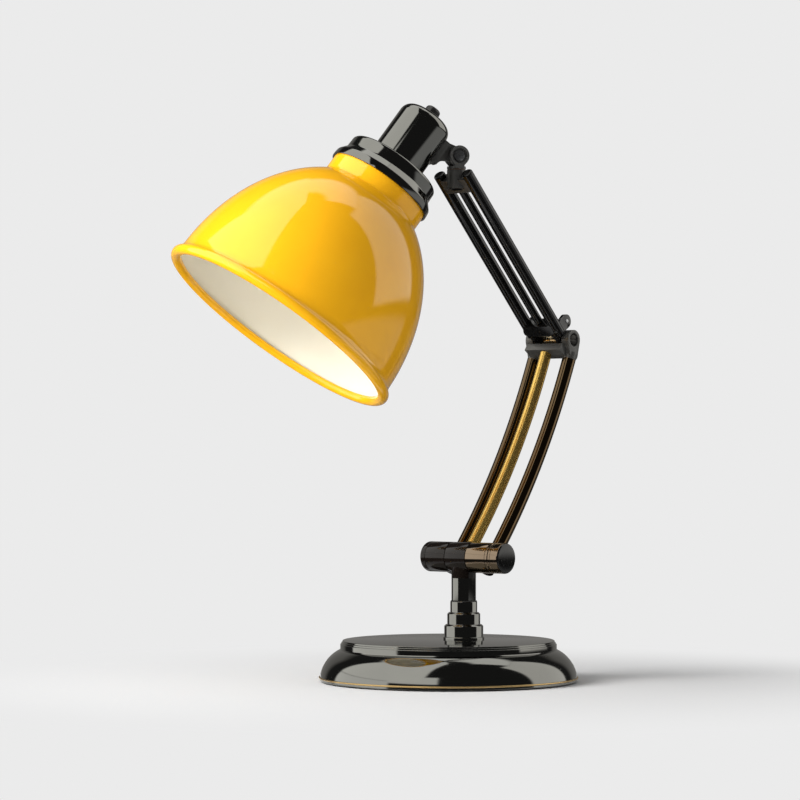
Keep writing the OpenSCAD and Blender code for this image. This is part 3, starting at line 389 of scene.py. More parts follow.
def driftGroup():
    # slow change of tone over a surface, between two colours
    group, into, out = newGroup("toneDrift", {"Vector": "Vector", "Size": 18.0, "First": (0.5, 0.5, 0.5, 1),
                                "Second": (0.4, 0.4, 0.4, 1)}, {"Color": "Color", "Value": "Float"})
    low, high = 0.3, 0.7
    value = remap(group, noise(group, into["Vector"], into["Size"], 4.0, 0.6), low, high)
    group.links.new(mixColors(group, value, into["First"], into["Second"]), out["Color"])
    group.links.new(value, out["Value"])
    return group


orangePeel, specks, scuffs, toneDrift = orangePeelGroup(), specksGroup(), scuffsGroup(), driftGroup()


def newFinish(name):
    finish = bpy.data.materials.new(name)
    finish.use_nodes = True
    tree = finish.node_tree
    where = tree.nodes.new("ShaderNodeTexCoord").outputs["Object"]
    return finish, tree, tree.nodes["Principled BSDF"], where


def drifting(tree, where, size, tones):
    first, second = ((*tone, 1) for tone in tones)
    return useGroup(tree, toneDrift, {"Vector": where, "Size": size, "First": first, "Second": second})


def scratched(tree, where, look, roughness, clamp=False):
    # hairlines add to the roughness
    mask = useGroup(tree, scuffs, {"Vector": where, "Size": look["scuffSize"], "Amount": look["scuffAmount"]})
    return sums(tree, "MULTIPLY_ADD", mask[0], look["scuffWear"], roughness, clamp=clamp)


enamelLook = {
    "yellow": {"tones": ((0.93, 0.462, 0.010), (0.90, 0.425, 0.008)), "roughness": 0.10, "spread": 0.05,
               "peel": 0.025, "dust": 0.05, "specular": 0.1, "coat": 0.42, "coatIor": 2.2},
    "cream": {"tones": ((0.88, 0.83, 0.70), (0.86, 0.80, 0.66)), "roughness": 0.30, "spread": 0.06,
              "peel": 0.05, "dust": 0.0},
    "black": {"tones": ((0.0042, 0.0038, 0.0034), (0.0060, 0.0052, 0.0046)), "roughness": 0.045,
              "spread": 0.035, "peel": 0.014, "dust": 0.03, "specular": 0.8},
    "satinBlack": {"tones": ((0.095, 0.094, 0.088), (0.078, 0.077, 0.072)), "roughness": 0.34,
                   "spread": 0.08, "peel": 0.02, "dust": 0.03, "metallic": 0.35},
    "jointGrey": {"tones": ((0.150, 0.149, 0.142), (0.125, 0.124, 0.117)), "roughness": 0.30,
                  "spread": 0.08, "peel": 0.02, "dust": 0.03, "metallic": 0.45},
    "headBlack": {"tones": ((0.205, 0.205, 0.190), (0.190, 0.190, 0.178)), "roughness": 0.06,
                  "spread": 0.03, "peel": 0.012, "dust": 0.02, "metallic": 1.0},
    "armBlack": {"tones": ((0.0040, 0.0039, 0.0038), (0.0060, 0.0058, 0.0056)), "roughness": 0.07,
                 "spread": 0.04, "peel": 0.018, "dust": 0.03},
    # the barrel's left half and middle: a duller, less reflective black than the right half, painted shade
    "shadedBarrelBlack": {"tones": ((0.0070, 0.0050, 0.0040), (0.0050, 0.0036, 0.0030)), "roughness": 0.06,
                  "spread": 0.04, "peel": 0.018, "dust": 0.03, "specular": 0.28},
    # the lower side tubes: a bronze-tinted metal so their reflections come out tan, a painted reflection of
    # the yellow shade
    "warmReflectionBlack": {"tones": ((0.120, 0.082, 0.044), (0.100, 0.066, 0.034)), "roughness": 0.07,
                    "spread": 0.03, "peel": 0.006, "dust": 0.02, "metallic": 1.0},
    # the barrel's right half and the tension knob: a tan metal so their reflections come out warm, a painted
    # reflection of the yellow shade
    "warmReflectionBarrelBlack": {"tones": ((0.225, 0.172, 0.122), (0.190, 0.142, 0.098)), "roughness": 0.05,
                    "spread": 0.03, "peel": 0.008, "dust": 0.02, "metallic": 1.0},
}
enamelCommon = {
    "specular": 0.5, "metallic": 0.0, "coat": 0.0, "coatRoughness": 0.03, "coatIor": 1.5,
    "driftSize": 22.0, "peelSize": 850.0, "scuffSize": 46.0, "scuffAmount": 0.5, "scuffWear": 0.10,
    "dustSize": 420.0, "dustTone": (0.30, 0.28, 0.25, 1), "dustCover": 0.06, "dustWear": 0.2,
}


def enamel(name):
    look = {**enamelCommon, **enamelLook[name]}
    finish, tree, shader, where = newFinish(name + "Enamel")
    drift = drifting(tree, where, look["driftSize"], look["tones"])
    dust = useGroup(tree, specks, {"Vector": where, "Size": look["dustSize"], "Amount": look["dust"]})[0]
    dusted = sums(tree, "MULTIPLY", dust, look["dustCover"])
    base = sums(tree, "MULTIPLY_ADD", drift["Value"], look["spread"], look["roughness"])
    worn = scratched(tree, where, look, base)
    skin = useGroup(tree, orangePeel, {"Vector": where, "Size": look["peelSize"], "Strength": look["peel"]})
    fill(tree, shader, {
        "Base Color": mixColors(tree, dusted, drift["Color"], look["dustTone"]),
        "Roughness": sums(tree, "MULTIPLY_ADD", dust, look["dustWear"], worn, clamp=True),
        "Normal": skin[0], "Specular IOR Level": look["specular"], "Metallic": look["metallic"],
        "Coat Weight": look["coat"], "Coat Roughness": look["coatRoughness"], "Coat IOR": look["coatIor"]})
    return finish


metalLook = {
    "drawnBrass": {"tones": ((0.80, 0.535, 0.140), (0.72, 0.455, 0.110)), "roughness": 0.24, "spread": 0.04,
                   "lines": (9, 9, 0.35), "lineSize": 300.0, "lineDepth": 0.004, "metallic": 0.88,
                   "scuffWear": 0.02, "direction": (math.radians(lampPose["lowerLean"]), 0, 0)},
    "trimBrass": {"tones": ((0.62, 0.44, 0.20), (0.50, 0.34, 0.14)), "roughness": 0.2, "spread": 0.2},
    "turnedSteel": {"tones": ((0.52, 0.53, 0.54), (0.42, 0.43, 0.44)), "roughness": 0.22, "spread": 0.2},
    "sleeveBrass": {"tones": ((0.80, 0.66, 0.42), (0.70, 0.56, 0.34)), "roughness": 0.2, "spread": 0.15},
    "bulbMetal": {"tones": ((0.72, 0.72, 0.70), (0.62, 0.62, 0.60)), "roughness": 0.25, "spread": 0.2},
    "blackedSteel": {"tones": ((0.045, 0.043, 0.040), (0.030, 0.029, 0.027)), "roughness": 0.26,
                     "spread": 0.2},
}
metalCommon = {"lines": (1, 1, 1), "lineSize": 900.0, "lineDepth": 0.03, "direction": (0, 0, 0),
               "metallic": 1.0, "scuffWear": 0.15, "driftSize": 60.0, "scuffSize": 60.0, "scuffAmount": 0.6,
               "depth": 0.0001}


def metal(name):
    # tool or drawing lines, and hairline wear
    look = {**metalCommon, **metalLook[name]}
    finish, tree, shader, where = newFinish(name)
    drift = drifting(tree, where, look["driftSize"], look["tones"])
    turned = put(tree, "ShaderNodeMapping", {"Vector": where, "Rotation": look["direction"],
                 "Scale": look["lines"]}).outputs[0]
    grain = noise(tree, turned, look["lineSize"], 3.0)
    base = sums(tree, "MULTIPLY_ADD", grain, look["spread"], look["roughness"])
    fill(tree, shader, {
        "Base Color": drift["Color"], "Metallic": look["metallic"],
        "Roughness": scratched(tree, where, look, base, clamp=True),
        "Normal": relief(tree, grain, look["lineDepth"], look["depth"])})
    return finish


roughLook = {
    "wovenFelt": {"tones": ((0.050, 0.053, 0.050), (0.034, 0.036, 0.034)), "roughness": 0.95,
                  "grainSize": 2600.0, "strength": 0.9,
                  "extra": {"Sheen Weight": 0.6, "Sheen Roughness": 0.5}},
    "blackRubber": {"tones": ((0.020, 0.019, 0.018), (0.028, 0.027, 0.026)), "roughness": 0.6,
                    "grainSize": 1500.0, "strength": 0.2},
    "castIron": {"tones": ((0.060, 0.057, 0.054), (0.045, 0.042, 0.040)), "roughness": 0.6,
                 "grainSize": 900.0, "strength": 0.6, "extra": {"Metallic": 0.6}},
    "redFibre": {"tones": ((0.22, 0.12, 0.06), (0.17, 0.09, 0.045)), "roughness": 0.7,
                 "grainSize": 1800.0, "strength": 0.4},
    "glazedCeramic": {"tones": ((0.80, 0.77, 0.70), (0.75, 0.71, 0.63)), "roughness": 0.22,
                      "grainSize": 300.0, "strength": 0.04, "extra": {"Coat Weight": 0.5}},
    "switchPlastic": {"tones": ((0.016, 0.015, 0.014), (0.022, 0.021, 0.020)), "roughness": 0.34,
                      "grainSize": 1400.0, "strength": 0.12},
}
# the grain's colour is scaled down where its relief is low and up where it is high: grain tone with painted
# shade in the pits and painted light on the ridges
roughCommon = {"driftSize": 45.0, "depth": 0.0003, "shadedPits": 0.7, "raised": 1.15, "low": 0.3, "high": 0.75,
               "spread": 0.2, "extra": {}}


def rough(name):
    # felt, rubber, cast iron, fibre and ceramic: tone, grain and relief
    look = {**roughCommon, **roughLook[name]}
    finish, tree, shader, where = newFinish(name)
    drift = drifting(tree, where, look["driftSize"], look["tones"])
    grain = noise(tree, where, look["grainSize"], 6.0, 0.7)
    # the same noise as the relief darkens its low spots and lightens its high spots: partly grain tone,
    # partly painted shade and painted light
    shade = remap(tree, grain, look["low"], look["high"], look["shadedPits"], look["raised"])
    fill(tree, shader, {
        "Base Color": mixColors(tree, 1.0, drift["Color"], shade, "MULTIPLY"),
        "Roughness": sums(tree, "MULTIPLY_ADD", grain, look["spread"], look["roughness"] - look["spread"] / 2,
                          clamp=True),
        "Normal": relief(tree, grain, look["strength"], look["depth"]), **look["extra"]})
    return finish


glassLook = {"tones": ((0.90, 0.89, 0.86), (0.84, 0.83, 0.80)), "driftSize": 40.0, "grainSize": 2200.0,
             "spread": 0.15, "roughness": 0.22, "transmission": 0.25, "strength": 0.12, "depth": 0.0001}


def frostedGlass():
    look = glassLook
    finish, tree, shader, where = newFinish("frostedGlass")
    grain = noise(tree, where, look["grainSize"], 3.0)
    fill(tree, shader, {
        "Base Color": drifting(tree, where, look["driftSize"], look["tones"])["Color"],
        "Roughness": sums(tree, "MULTIPLY_ADD", grain, look["spread"], look["roughness"]),
        "Transmission Weight": look["transmission"],
        "Normal": relief(tree, grain, look["strength"], look["depth"])})
    return finish


finishes = {name: enamel(name) for name in enamelLook}
finishes.update({name: metal(name) for name in metalLook})
finishes.update({name: rough(name) for name in roughLook})
finishes["frostedGlass"] = frostedGlass()
print("finishes made")


# base

baseSizes = {
    "height": 30.5, "discRadius": 78.2, "stepWidth": 0.8, "stepHeight": 1.3, "skirtRadius": 25.6,
    "skirtCentre": (69.4, 0.4), "edgeHeight": 1.0, "wall": 2.0, "trimHeight": 3.2, "trimThickness": 1.3,
    "topEdge": 0.45, "stepEdge": 0.35, "stepCorner": 0.15, "inletRadius": 4.45, "inletRise": 27,
    "underArc": (6, 62, 12), "skirtParts": 34, "footParts": 3, "around": 192,
}


def makeBase():
    s = baseSizes
    (cx, cz), curve, r, top = s["skirtCentre"], s["skirtRadius"], s["discRadius"], s["height"]
    wide, high, corner, t = s["stepWidth"], s["stepHeight"], s["stepCorner"], s["trimThickness"]
    rim = r + 2 * wide    # where the skirt begins

    def angleOf(z):
        return math.degrees(math.asin((z - cz) / curve))

    outer = rounded([(0, top), (r, top, s["topEdge"]), (r, top - high, corner),
                     (r + wide, top - high, s["stepEdge"]), (r + wide, top - 2 * high, corner),
                     (rim, top - 2 * high, s["stepEdge"]),
                     (rim, cz + math.sqrt(curve ** 2 - (rim - cx) ** 2) + 0.4)], step=15)
    first = math.degrees(math.acos((rim - cx) / curve))
    grooveTop, grooveLow = s["trimHeight"] + t / 2, s["trimHeight"] - t / 2
    grooveX = cx + math.sqrt(curve ** 2 - (s["trimHeight"] - cz) ** 2) - t / 2
    skirt = arc(cx, cz, curve, first - 1.0, angleOf(grooveTop), s["skirtParts"])
    foot = arc(cx, cz, curve, angleOf(grooveLow), angleOf(s["edgeHeight"]), s["footParts"])
    inner = curve - s["wall"]
    under = [(cx + inner, s["edgeHeight"])] + arc(cx, cz, inner, *s["underArc"]) + [(0, top - s["wall"])]
    groove = [(grooveX, grooveTop), (grooveX, grooveLow)]
    cover = lathe("baseCover", outer + skirt + groove + foot + under, s["around"])
    inlet = rod("inlet", s["inletRadius"], curve - 6, curve + 6,
                shift(0, cx, cz) @ turn("X", s["inletRise"] - 90), 32)
    combine(cover, [inlet], "DIFFERENCE")
    place(cover, atBase, "base", "base_cover", ["headBlack"], smooth=28)
    face = grooveX + t
    ring = lathe("trimRing", rounded([(grooveX, grooveLow), (face, grooveLow, t * 0.42),
                 (face + 0.2 * t, s["trimHeight"], t * 0.5), (face, grooveTop, t * 0.42),
                 (grooveX, grooveTop)], closed=True, step=20), s["around"], closed=True)
    place(ring, atBase, "base", "trim_ring", ["trimBrass"], 35)


makeBase()
dressNode("cord_grommet", "base", "blackRubber", 0.35)
dressNode("bottom_screws", "base", "turnedSteel", 0.12)
dressInPlace({"ballast_plate": "castIron", "bottom_plate": "turnedSteel", "threaded_nipple": "turnedSteel",
              "nipple_washer": "turnedSteel", "nipple_nut": "trimBrass", "stem_grub_screw": "blackedSteel",
              "stem_washer": "blackRubber"})
print("base made")


# felt, with its loose fibres

feltSizes = {
    "radius": 89.2, "low": 0.25, "high": 1.95, "lowEdge": 0.5, "highEdge": 0.4, "holeRadius": 4.7,
    "holeAt": 60, "holeAngles": (30, 150, 270), "fibres": 5200, "fibreLength": 0.0011, "fibreWidth": 0.00006,
    "fibreRadius": 0.0895, "lean": 1.3, "shortest": 0.5, "longest": 1.2, "seed": 7,
}


def runTree(obj, tree, values):
    # keeps what a Geometry Nodes tree makes of these inputs
    mod = obj.modifiers.new("nodes", "NODES")
    mod.node_group = tree
    for item in tree.interface.items_tree:
        if item.item_type == "SOCKET" and item.in_out == "INPUT" and item.name in values:
            mod[item.identifier] = values[item.name]
    return settle(obj)


def fibreTree():
    # short bent fibres scattered over a surface
    s = feltSizes
    tree, into, out = newGroup("feltFibres", {
        "Geometry": "Geometry", "Fibres per square metre": 1000.0, "Length": 0.001, "Width": 0.0001,
        "Seed": 1, "Finish": "Material"}, {"Geometry": "Geometry"}, "GeometryNodeTree")
    points = put(tree, "GeometryNodeDistributePointsOnFaces", {"Mesh": into["Geometry"],
                 "Density": into["Fibres per square metre"], "Seed": into["Seed"]})
    blade = put(tree, "GeometryNodeMeshCone", {"Vertices": 3, "Radius Top": 0.0,
                "Radius Bottom": into["Width"], "Depth": into["Length"]})
    tip = put(tree, "FunctionNodeRandomValue", {"Seed": into["Seed"], 0: (-s["lean"],) * 3,
              1: (s["lean"],) * 3}, data_type="FLOAT_VECTOR")
    size = put(tree, "FunctionNodeRandomValue", {"Seed": into["Seed"], 2: s["shortest"],
               3: s["longest"]}, data_type="FLOAT")
    scattered = put(tree, "GeometryNodeInstanceOnPoints", {
        "Points": points.outputs["Points"], "Instance": blade.outputs["Mesh"],
        "Rotation": tip.outputs[0], "Scale": size.outputs[1]})
    real = put(tree, "GeometryNodeRealizeInstances", {"Geometry": scattered.outputs["Instances"]})
    together = tree.nodes.new("GeometryNodeJoinGeometry")
    tree.links.new(into["Geometry"], together.inputs[0])
    tree.links.new(real.outputs[0], together.inputs[0])
    dressed = put(tree, "GeometryNodeSetMaterial", {"Geometry": together.outputs[0],
                  "Material": into["Finish"]})
    tree.links.new(dressed.outputs[0], out[0])
    return tree


def makeFelt():
    s = feltSizes
    pad = lathe("feltPad", rounded([(0, s["low"]), (s["radius"], s["low"], s["lowEdge"]),
                (s["radius"], s["high"], s["highEdge"]), (0, s["high"])]), 128)
    holes = [rod("hole", s["holeRadius"], -1, 4, turn("Z", angle) @ shift(s["holeAt"], 0, 0), 32)
             for angle in s["holeAngles"]]
    combine(pad, holes, "DIFFERENCE")
    pad.data.transform(toMetres)
    bothSides = math.pi * s["fibreRadius"] ** 2 * 2
    runTree(pad, fibreTree(), {
        "Fibres per square metre": s["fibres"] / bothSides, "Length": s["fibreLength"],
        "Width": s["fibreWidth"], "Seed": s["seed"], "Finish": finishes["wovenFelt"]})
    pad.data.transform(toMillimetres)
    place(pad, atBase, "base", "felt_pad", ["wovenFelt"], 35)


makeFelt()
print("felt made")


# post

postSizes = {
    "collars": ((14.5, 30.5, 41.4), (12.25, 41.4, 50.3), (10.0, 50.3, 58.3)), "chamfer": 1.2,
    "footRadius": 15.3, "footHeight": 1.6, "stemRadius": 9.1, "stemFoot": 59.0, "neckTop": 75.7,
    "play": 0.12, "mouthDepth": 3, "spigotRadius": 6.7, "spigotFoot": 47.5, "barrelRadius": 11.3,
    "knuckleHalf": 9.4,
}


def makePost():
    s = postSizes
    (r0, z0, z1), (r1, _, z2), (r2, _, z3) = s["collars"]
    c, footTop, bore = s["chamfer"], z0 + s["footHeight"], s["stemRadius"] + s["play"]
    profile = [(0, z0), (s["footRadius"], z0), (s["footRadius"], footTop, 0.5), (r0, footTop, 0.25),
               (r0, z1 - c, 0.5), (r0 - c, z1, 0.5), (r1, z1, 0.3), (r1, z2 - c, 0.5), (r1 - c, z2, 0.5),
               (r2, z2, 0.3), (r2, z3, 0.5), (bore, z3, 0.2), (bore, z3 - s["mouthDepth"]),
               (0, z3 - s["mouthDepth"])]
    collar = lathe("steppedCollar", rounded(profile, step=15), 96)
    place(collar, atPost, "base", "stepped_collar", ["headBlack"])
    stem = lathe("stemTube", rounded([
        (0, s["spigotFoot"]), (s["spigotRadius"], s["spigotFoot"], 0.4), (s["spigotRadius"], s["stemFoot"]),
        (s["stemRadius"], s["stemFoot"], 0.3), (s["stemRadius"], s["neckTop"]), (0, s["neckTop"])]), 96)
    place(stem, atPost, "stem", "stem_tube", ["headBlack"])
    h = lampPose["shoulderHeight"]
    barrel = rod("centreKnuckle", s["barrelRadius"], -s["knuckleHalf"], s["knuckleHalf"],
                 shift(0, 0, h) @ alongX, 96)
    combine(barrel, [rod("neck", s["stemRadius"], s["neckTop"], h, None, 96)])
    softenEdges(barrel, 0.5, angle=25)
    # the barrel's middle in the duller, less reflective black: painted shade
    place(barrel, atPost, "stem", "centre_knuckle", ["shadedBarrelBlack"])


makePost()
print("post made")


# shoulder

bow = {"radius": 570.2, "crest": 16.2, "middle": 82.0, "spread": 16.8}
shoulderSizes = {
    "barrelRadius": 11.3, "inner": 10.1, "outer": 28.0, "lugRadius": 6.35, "lugLow": -5.0, "lugHigh": 14.0,
    "capStart": 28.05, "capLength": 6.0, "capRound": 3.4, "knobStart": 28.1, "knobLength": 12.6,
    "knobRound": 1.6, "knobDome": 0.4, "grooveAt": 0.22, "grooveHalf": 0.55, "grooveDeep": 0.5,
    "line": (1.9, 2.1, 2.3), "lineDeep": 0.25,
}


def bowY(z):
    return bow["crest"] - bow["radius"] + math.sqrt(bow["radius"] ** 2 - (z - bow["middle"]) ** 2)


def bowPoints(side, low, high, parts):
    # along the middle line of a side tube
    heights = [low + (high - low) * k / parts for k in range(parts + 1)]
    return [(side * bow["spread"], bowY(z), z) for z in heights]


def between(side, inner, outer):
    return sorted((side * inner, side * outer))


def makeKnuckles():
    s = shoulderSizes
    # left knuckle in the duller barrel black, right knuckle in the tan one: painted shade and painted
    # reflection on the two halves of one barrel
    for side, name, look in ((-1, "left", "shadedBarrelBlack"), (1, "right", "warmReflectionBarrelBlack")):
        knuckle = rod(name + "Knuckle", s["barrelRadius"], *between(side, s["inner"], s["outer"]), alongX, 96)
        lug = sweepTube("lug", bowPoints(side, s["lugLow"], s["lugHigh"], 8), s["lugRadius"], 64)
        combine(knuckle, [lug])
        softenEdges(knuckle, 0.55, angle=25)
        place(knuckle, atShoulder, "lower_arm", name + "_knuckle", [look])


def makeBarrelEnds():
    s = shoulderSizes
    r, x0 = s["barrelRadius"], s["capStart"]
    cap = lathe("leftEndCap", rounded([(0, x0), (r, x0, 0.5), (r, x0 + s["capLength"], s["capRound"]),
                (0, x0 + s["capLength"])], step=7), 96)
    cap.data.transform(turn("Y", -90))
    # the left end cap in the duller, less reflective black: painted shade
    place(cap, atShoulder, "lower_arm", "left_end_cap", ["shadedBarrelBlack"])
    x0, half, dome = s["knobStart"], s["grooveHalf"], s["knobDome"]
    end, groove = x0 + s["knobLength"], x0 + s["grooveAt"] * s["knobLength"]
    lineStart, lineMiddle, lineEnd = s["line"]
    profile = rounded([
        (0, x0), (r, x0, 0.4), (r, groove - half, 0.15), (r - s["grooveDeep"], groove, 0.25),
        (r, groove + half, 0.15), (r, groove + lineStart, 0.1), (r - s["lineDeep"], groove + lineMiddle, 0.1),
        (r, groove + lineEnd, 0.1), (r, end - dome, s["knobRound"]), (0.6 * r, end - 0.35 * dome),
        (0.3 * r, end - 0.08 * dome), (0, end)], step=7)
    # the knob's side takes the tan barrel metal, a painted warm reflection; its end face is a plain black
    marks = [int(along > end - dome - 0.5 * s["knobRound"]) for across, along in profile]
    knob = lathe("tensionKnob", profile, 96, marks=marks)    # its end face has the second finish
    knob.data.transform(alongX)
    place(knob, atShoulder, "knob", "tension_knob", ["warmReflectionBarrelBlack", "armBlack"])


makeKnuckles()
makeBarrelEnds()
dressInPlace({"shoulder_washers": "redFibre", "shoulder_bolt": "turnedSteel"})
print("shoulder made")


# lower arm: Geometry Nodes bend each tube along the same bow

tubeSizes = {"lowerRadius": 5.25, "lowerFoot": 3, "lowerTop": 183.6, "conduitRadius": 4.5,
             "conduitFoot": 13.1, "conduitTop": 187.0, "conduitFront": 8.2, "rings": 96, "sides": 48}


def bowedTubeTree():
    tree, into, out = newGroup("bowedTube", {
        "Geometry": "Geometry", "Tube radius": 5.0, "Bow radius": 500.0, "Bow centre": -500.0,
        "Bow middle": 80.0, "Foot": 0.0, "Top": 100.0, "Sideways": 0.0, "Rings": 64, "Sides": 32,
        "Finish": "Material"}, {"Geometry": "Geometry"}, "GeometryNodeTree")

    def step(kind, inputs):
        return put(tree, kind, inputs).outputs

    low, high = (step("ShaderNodeCombineXYZ", {0: into["Sideways"], 2: into[end]})[0]
                 for end in ("Foot", "Top"))
    line = step("GeometryNodeCurvePrimitiveLine", {"Start": low, "End": high})[0]
    rings = step("GeometryNodeResampleCurve", {"Curve": line, "Count": into["Rings"]})[0]
    spot = step("ShaderNodeSeparateXYZ", {0: step("GeometryNodeInputPosition", {})[0]})
    rise = sums(tree, "SUBTRACT", spot[2], into["Bow middle"])
    square = sums(tree, "MULTIPLY", into["Bow radius"], into["Bow radius"])
    under = sums(tree, "SUBTRACT", square, sums(tree, "MULTIPLY", rise, rise))
    back = sums(tree, "ADD", sums(tree, "SQRT", under), into["Bow centre"])
    moved = step("ShaderNodeCombineXYZ", {0: spot[0], 1: back, 2: spot[2]})[0]
    bent = step("GeometryNodeSetPosition", {"Geometry": rings, "Position": moved})[0]
    section = step("GeometryNodeCurvePrimitiveCircle", {"Resolution": into["Sides"],
                   "Radius": into["Tube radius"]})[0]
    skin = step("GeometryNodeCurveToMesh", {"Curve": bent, "Profile Curve": section, "Fill Caps": True})[0]
    real = step("GeometryNodeRealizeInstances", {"Geometry": skin})[0]
    dressed = step("GeometryNodeSetMaterial", {"Geometry": real, "Material": into["Finish"]})[0]
    tree.links.new(dressed, out[0])
    return tree


bowTree = bowedTubeTree()


def bowedTube(name, radius, sideways, foot, top, front, look):
    return runTree(link(name, bpy.data.meshes.new(name)), bowTree, {
        "Tube radius": radius, "Bow radius": bow["radius"] - front,
        "Bow centre": bow["crest"] - bow["radius"], "Bow middle": bow["middle"], "Foot": foot, "Top": top,
        "Sideways": sideways, "Rings": tubeSizes["rings"], "Sides": tubeSizes["sides"],
        "Finish": finishes[look]})


def makeLowerArm():
    s = tubeSizes
    # the side tubes take the bronze-tinted black, a painted warm reflection
    for side, name in ((-1, "Left"), (1, "Right")):
        tube = bowedTube("lowerTube" + name, s["lowerRadius"], side * bow["spread"], s["lowerFoot"],
                         s["lowerTop"], 0, "warmReflectionBlack")
        place(tube, atShoulder, "lower_arm", "lower_" + name.lower() + "_tube", ["warmReflectionBlack"], smooth=35)
    conduit = bowedTube("lowerConduit", s["conduitRadius"], 0, s["conduitFoot"], s["conduitTop"],
                        s["conduitFront"], "drawnBrass")
    place(conduit, atShoulder, "lower_arm", "lower_conduit", ["drawnBrass"], 35)


makeLowerArm()
dressNode("lower_bridge", "lower_arm", "black", 0.5)
print("lower arm made")


# elbow

yokeSizes = {"half": 16.8, "blockLow": 183.6, "blockHigh": 189.4, "front": -7.2, "back": 4.8, "eye": 7.6,
             "earIn": 13.9, "earOut": 20.5, "recess": 5.2, "recessDeep": 2.6, "tail": 4.85,
             "tailHeight": 188.2}
knuckleSizes = {"spread": 13.0, "blockLow": 11.2, "blockHigh": 21.2, "halfThick": 4.9, "footRadius": 4.5,
                "footLow": 8.6, "footEdge": 0.8, "eye": 5.8, "eyeIn": 8.2, "eyeOut": 13.2, "neckIn": 0.6,
                "neckTop": 2.6, "lugIn": 12.8, "lugOut": 16.2, "lugEye": 5.2, "lugAt": (7.6, 12.6),
                "lugFoot": (14.0, 4.5)}
sleeveSizes = {"inner": 2.3, "outer": 3.4, "waist": 3.1, "half": 8.2, "waistHalf": 0.6, "collarHalf": 0.9}
pinSizes = {"radius": 1.6, "half": 16.7, "edge": 0.4}


def makeYoke():
    s = yokeSizes
    z = lampPose["lowerLength"]
    yoke = block("elbowYoke", (-s["half"], s["front"], s["blockLow"]), (s["half"], s["back"], s["blockHigh"]))
    outline = linkOutline(0, z, s["eye"], bowY(s["tailHeight"]), s["tailHeight"], s["tail"])
    parts = []
    for side in (-1, 1):
        parts.append(slab("ear", outline, *between(side, s["earIn"], s["earOut"])))
        parts.append(sweepTube("tubeEnd", bowPoints(side, s["blockLow"], s["blockHigh"], 5),
                               tubeSizes["lowerRadius"], 48))
    combine(yoke, parts)
    cuts = [rod("recess", s["recess"], s["earOut"] - s["recessDeep"], s["earOut"] + 2,
                shift(0, 0, z) @ turn("Y", 90 * side)) for side in (-1, 1)]
    combine(yoke, cuts, "DIFFERENCE")
    softenEdges(yoke, 0.6)
    place(yoke, atShoulder, "lower_arm", "elbow_yoke", ["satinBlack"])


def makeElbowKnuckle():
    s = knuckleSizes
    drop, thick = lampPose["upperDrop"], s["halfThick"]
    knuckle = block("elbowKnuckle", (-s["spread"], -thick - drop, s["blockLow"]),
                    (s["spread"], thick - drop, s["blockHigh"]))
    neck, seat = s["eye"] - s["neckIn"], s["blockLow"] + 1
    eye = arc(0, 0, s["eye"], 155, 385, 30) + [(neck, s["neckTop"]), (thick - drop, seat),
                                               (-thick - drop, seat), (-neck, s["neckTop"])]
    lug = linkOutline(*s["lugAt"], s["lugEye"], -drop, *s["lugFoot"])
    parts = []
    for side in (-1, 1):
        parts.append(rod("tubeFoot", s["footRadius"], s["footLow"], s["blockHigh"] + 0.2,
                         shift(side * s["spread"], -drop, 0), 48, s["footEdge"]))
        parts.append(slab("eye", eye, *between(side, s["eyeIn"], s["eyeOut"])))
        parts.append(slab("lug", lug, *between(side, s["lugIn"], s["lugOut"])))
    combine(knuckle, parts)
    softenEdges(knuckle, 0.45)
    place(knuckle, atElbow, "upper_arm", "elbow_knuckle", ["armBlack"])


def makeSleeveAndPin():
    s = sleeveSizes
    upper = [(s["waist"], s["waistHalf"], 0.1), (s["outer"], s["collarHalf"], 0.1),
             (s["outer"], s["half"], 0.3), (s["inner"], s["half"])]
    lower = [(point[0], -point[1], *point[2:]) for point in reversed(upper)]
    sleeve = lathe("spacerSleeve", rounded(lower + upper, closed=True), 64, closed=True)
    sleeve.data.transform(alongX)
    place(sleeve, atElbow, "upper_arm", "spacer_sleeve", ["sleeveBrass"], 35)
    s = pinSizes
    pin = lathe("crossPin", rounded([(0, -s["half"]), (s["radius"], -s["half"], s["edge"]),
                (s["radius"], s["half"], s["edge"]), (0, s["half"])], step=20), 40)
    pin.data.transform(shift(0, *knuckleSizes["lugAt"]) @ alongX)
    place(pin, atElbow, "upper_arm", "cross_pin", ["turnedSteel"], 35)


makeYoke()
makeElbowKnuckle()
makeSleeveAndPin()
dressNode("elbow_bolt", "lower_arm", "blackedSteel", 0.15)
dressNode("elbow_nut", "lower_arm", "blackedSteel", 0.15)
dressInPlace({"elbow_washers": "redFibre"})
print("elbow made")


# upper arm

upperSizes = {"radius": 4.5, "foot": 13.6, "top": 171.9, "endEdge": 1.1, "conduit": 3.2, "boxLow": 156.5,
              "boxHigh": 168.5, "boxHalf": 4.4, "bossRadius": 7.0, "bossLow": -6.6, "bossHigh": 7.4,
              "play": 0.05, "pocketRadius": 4.9, "pocketDeep": 4.4}


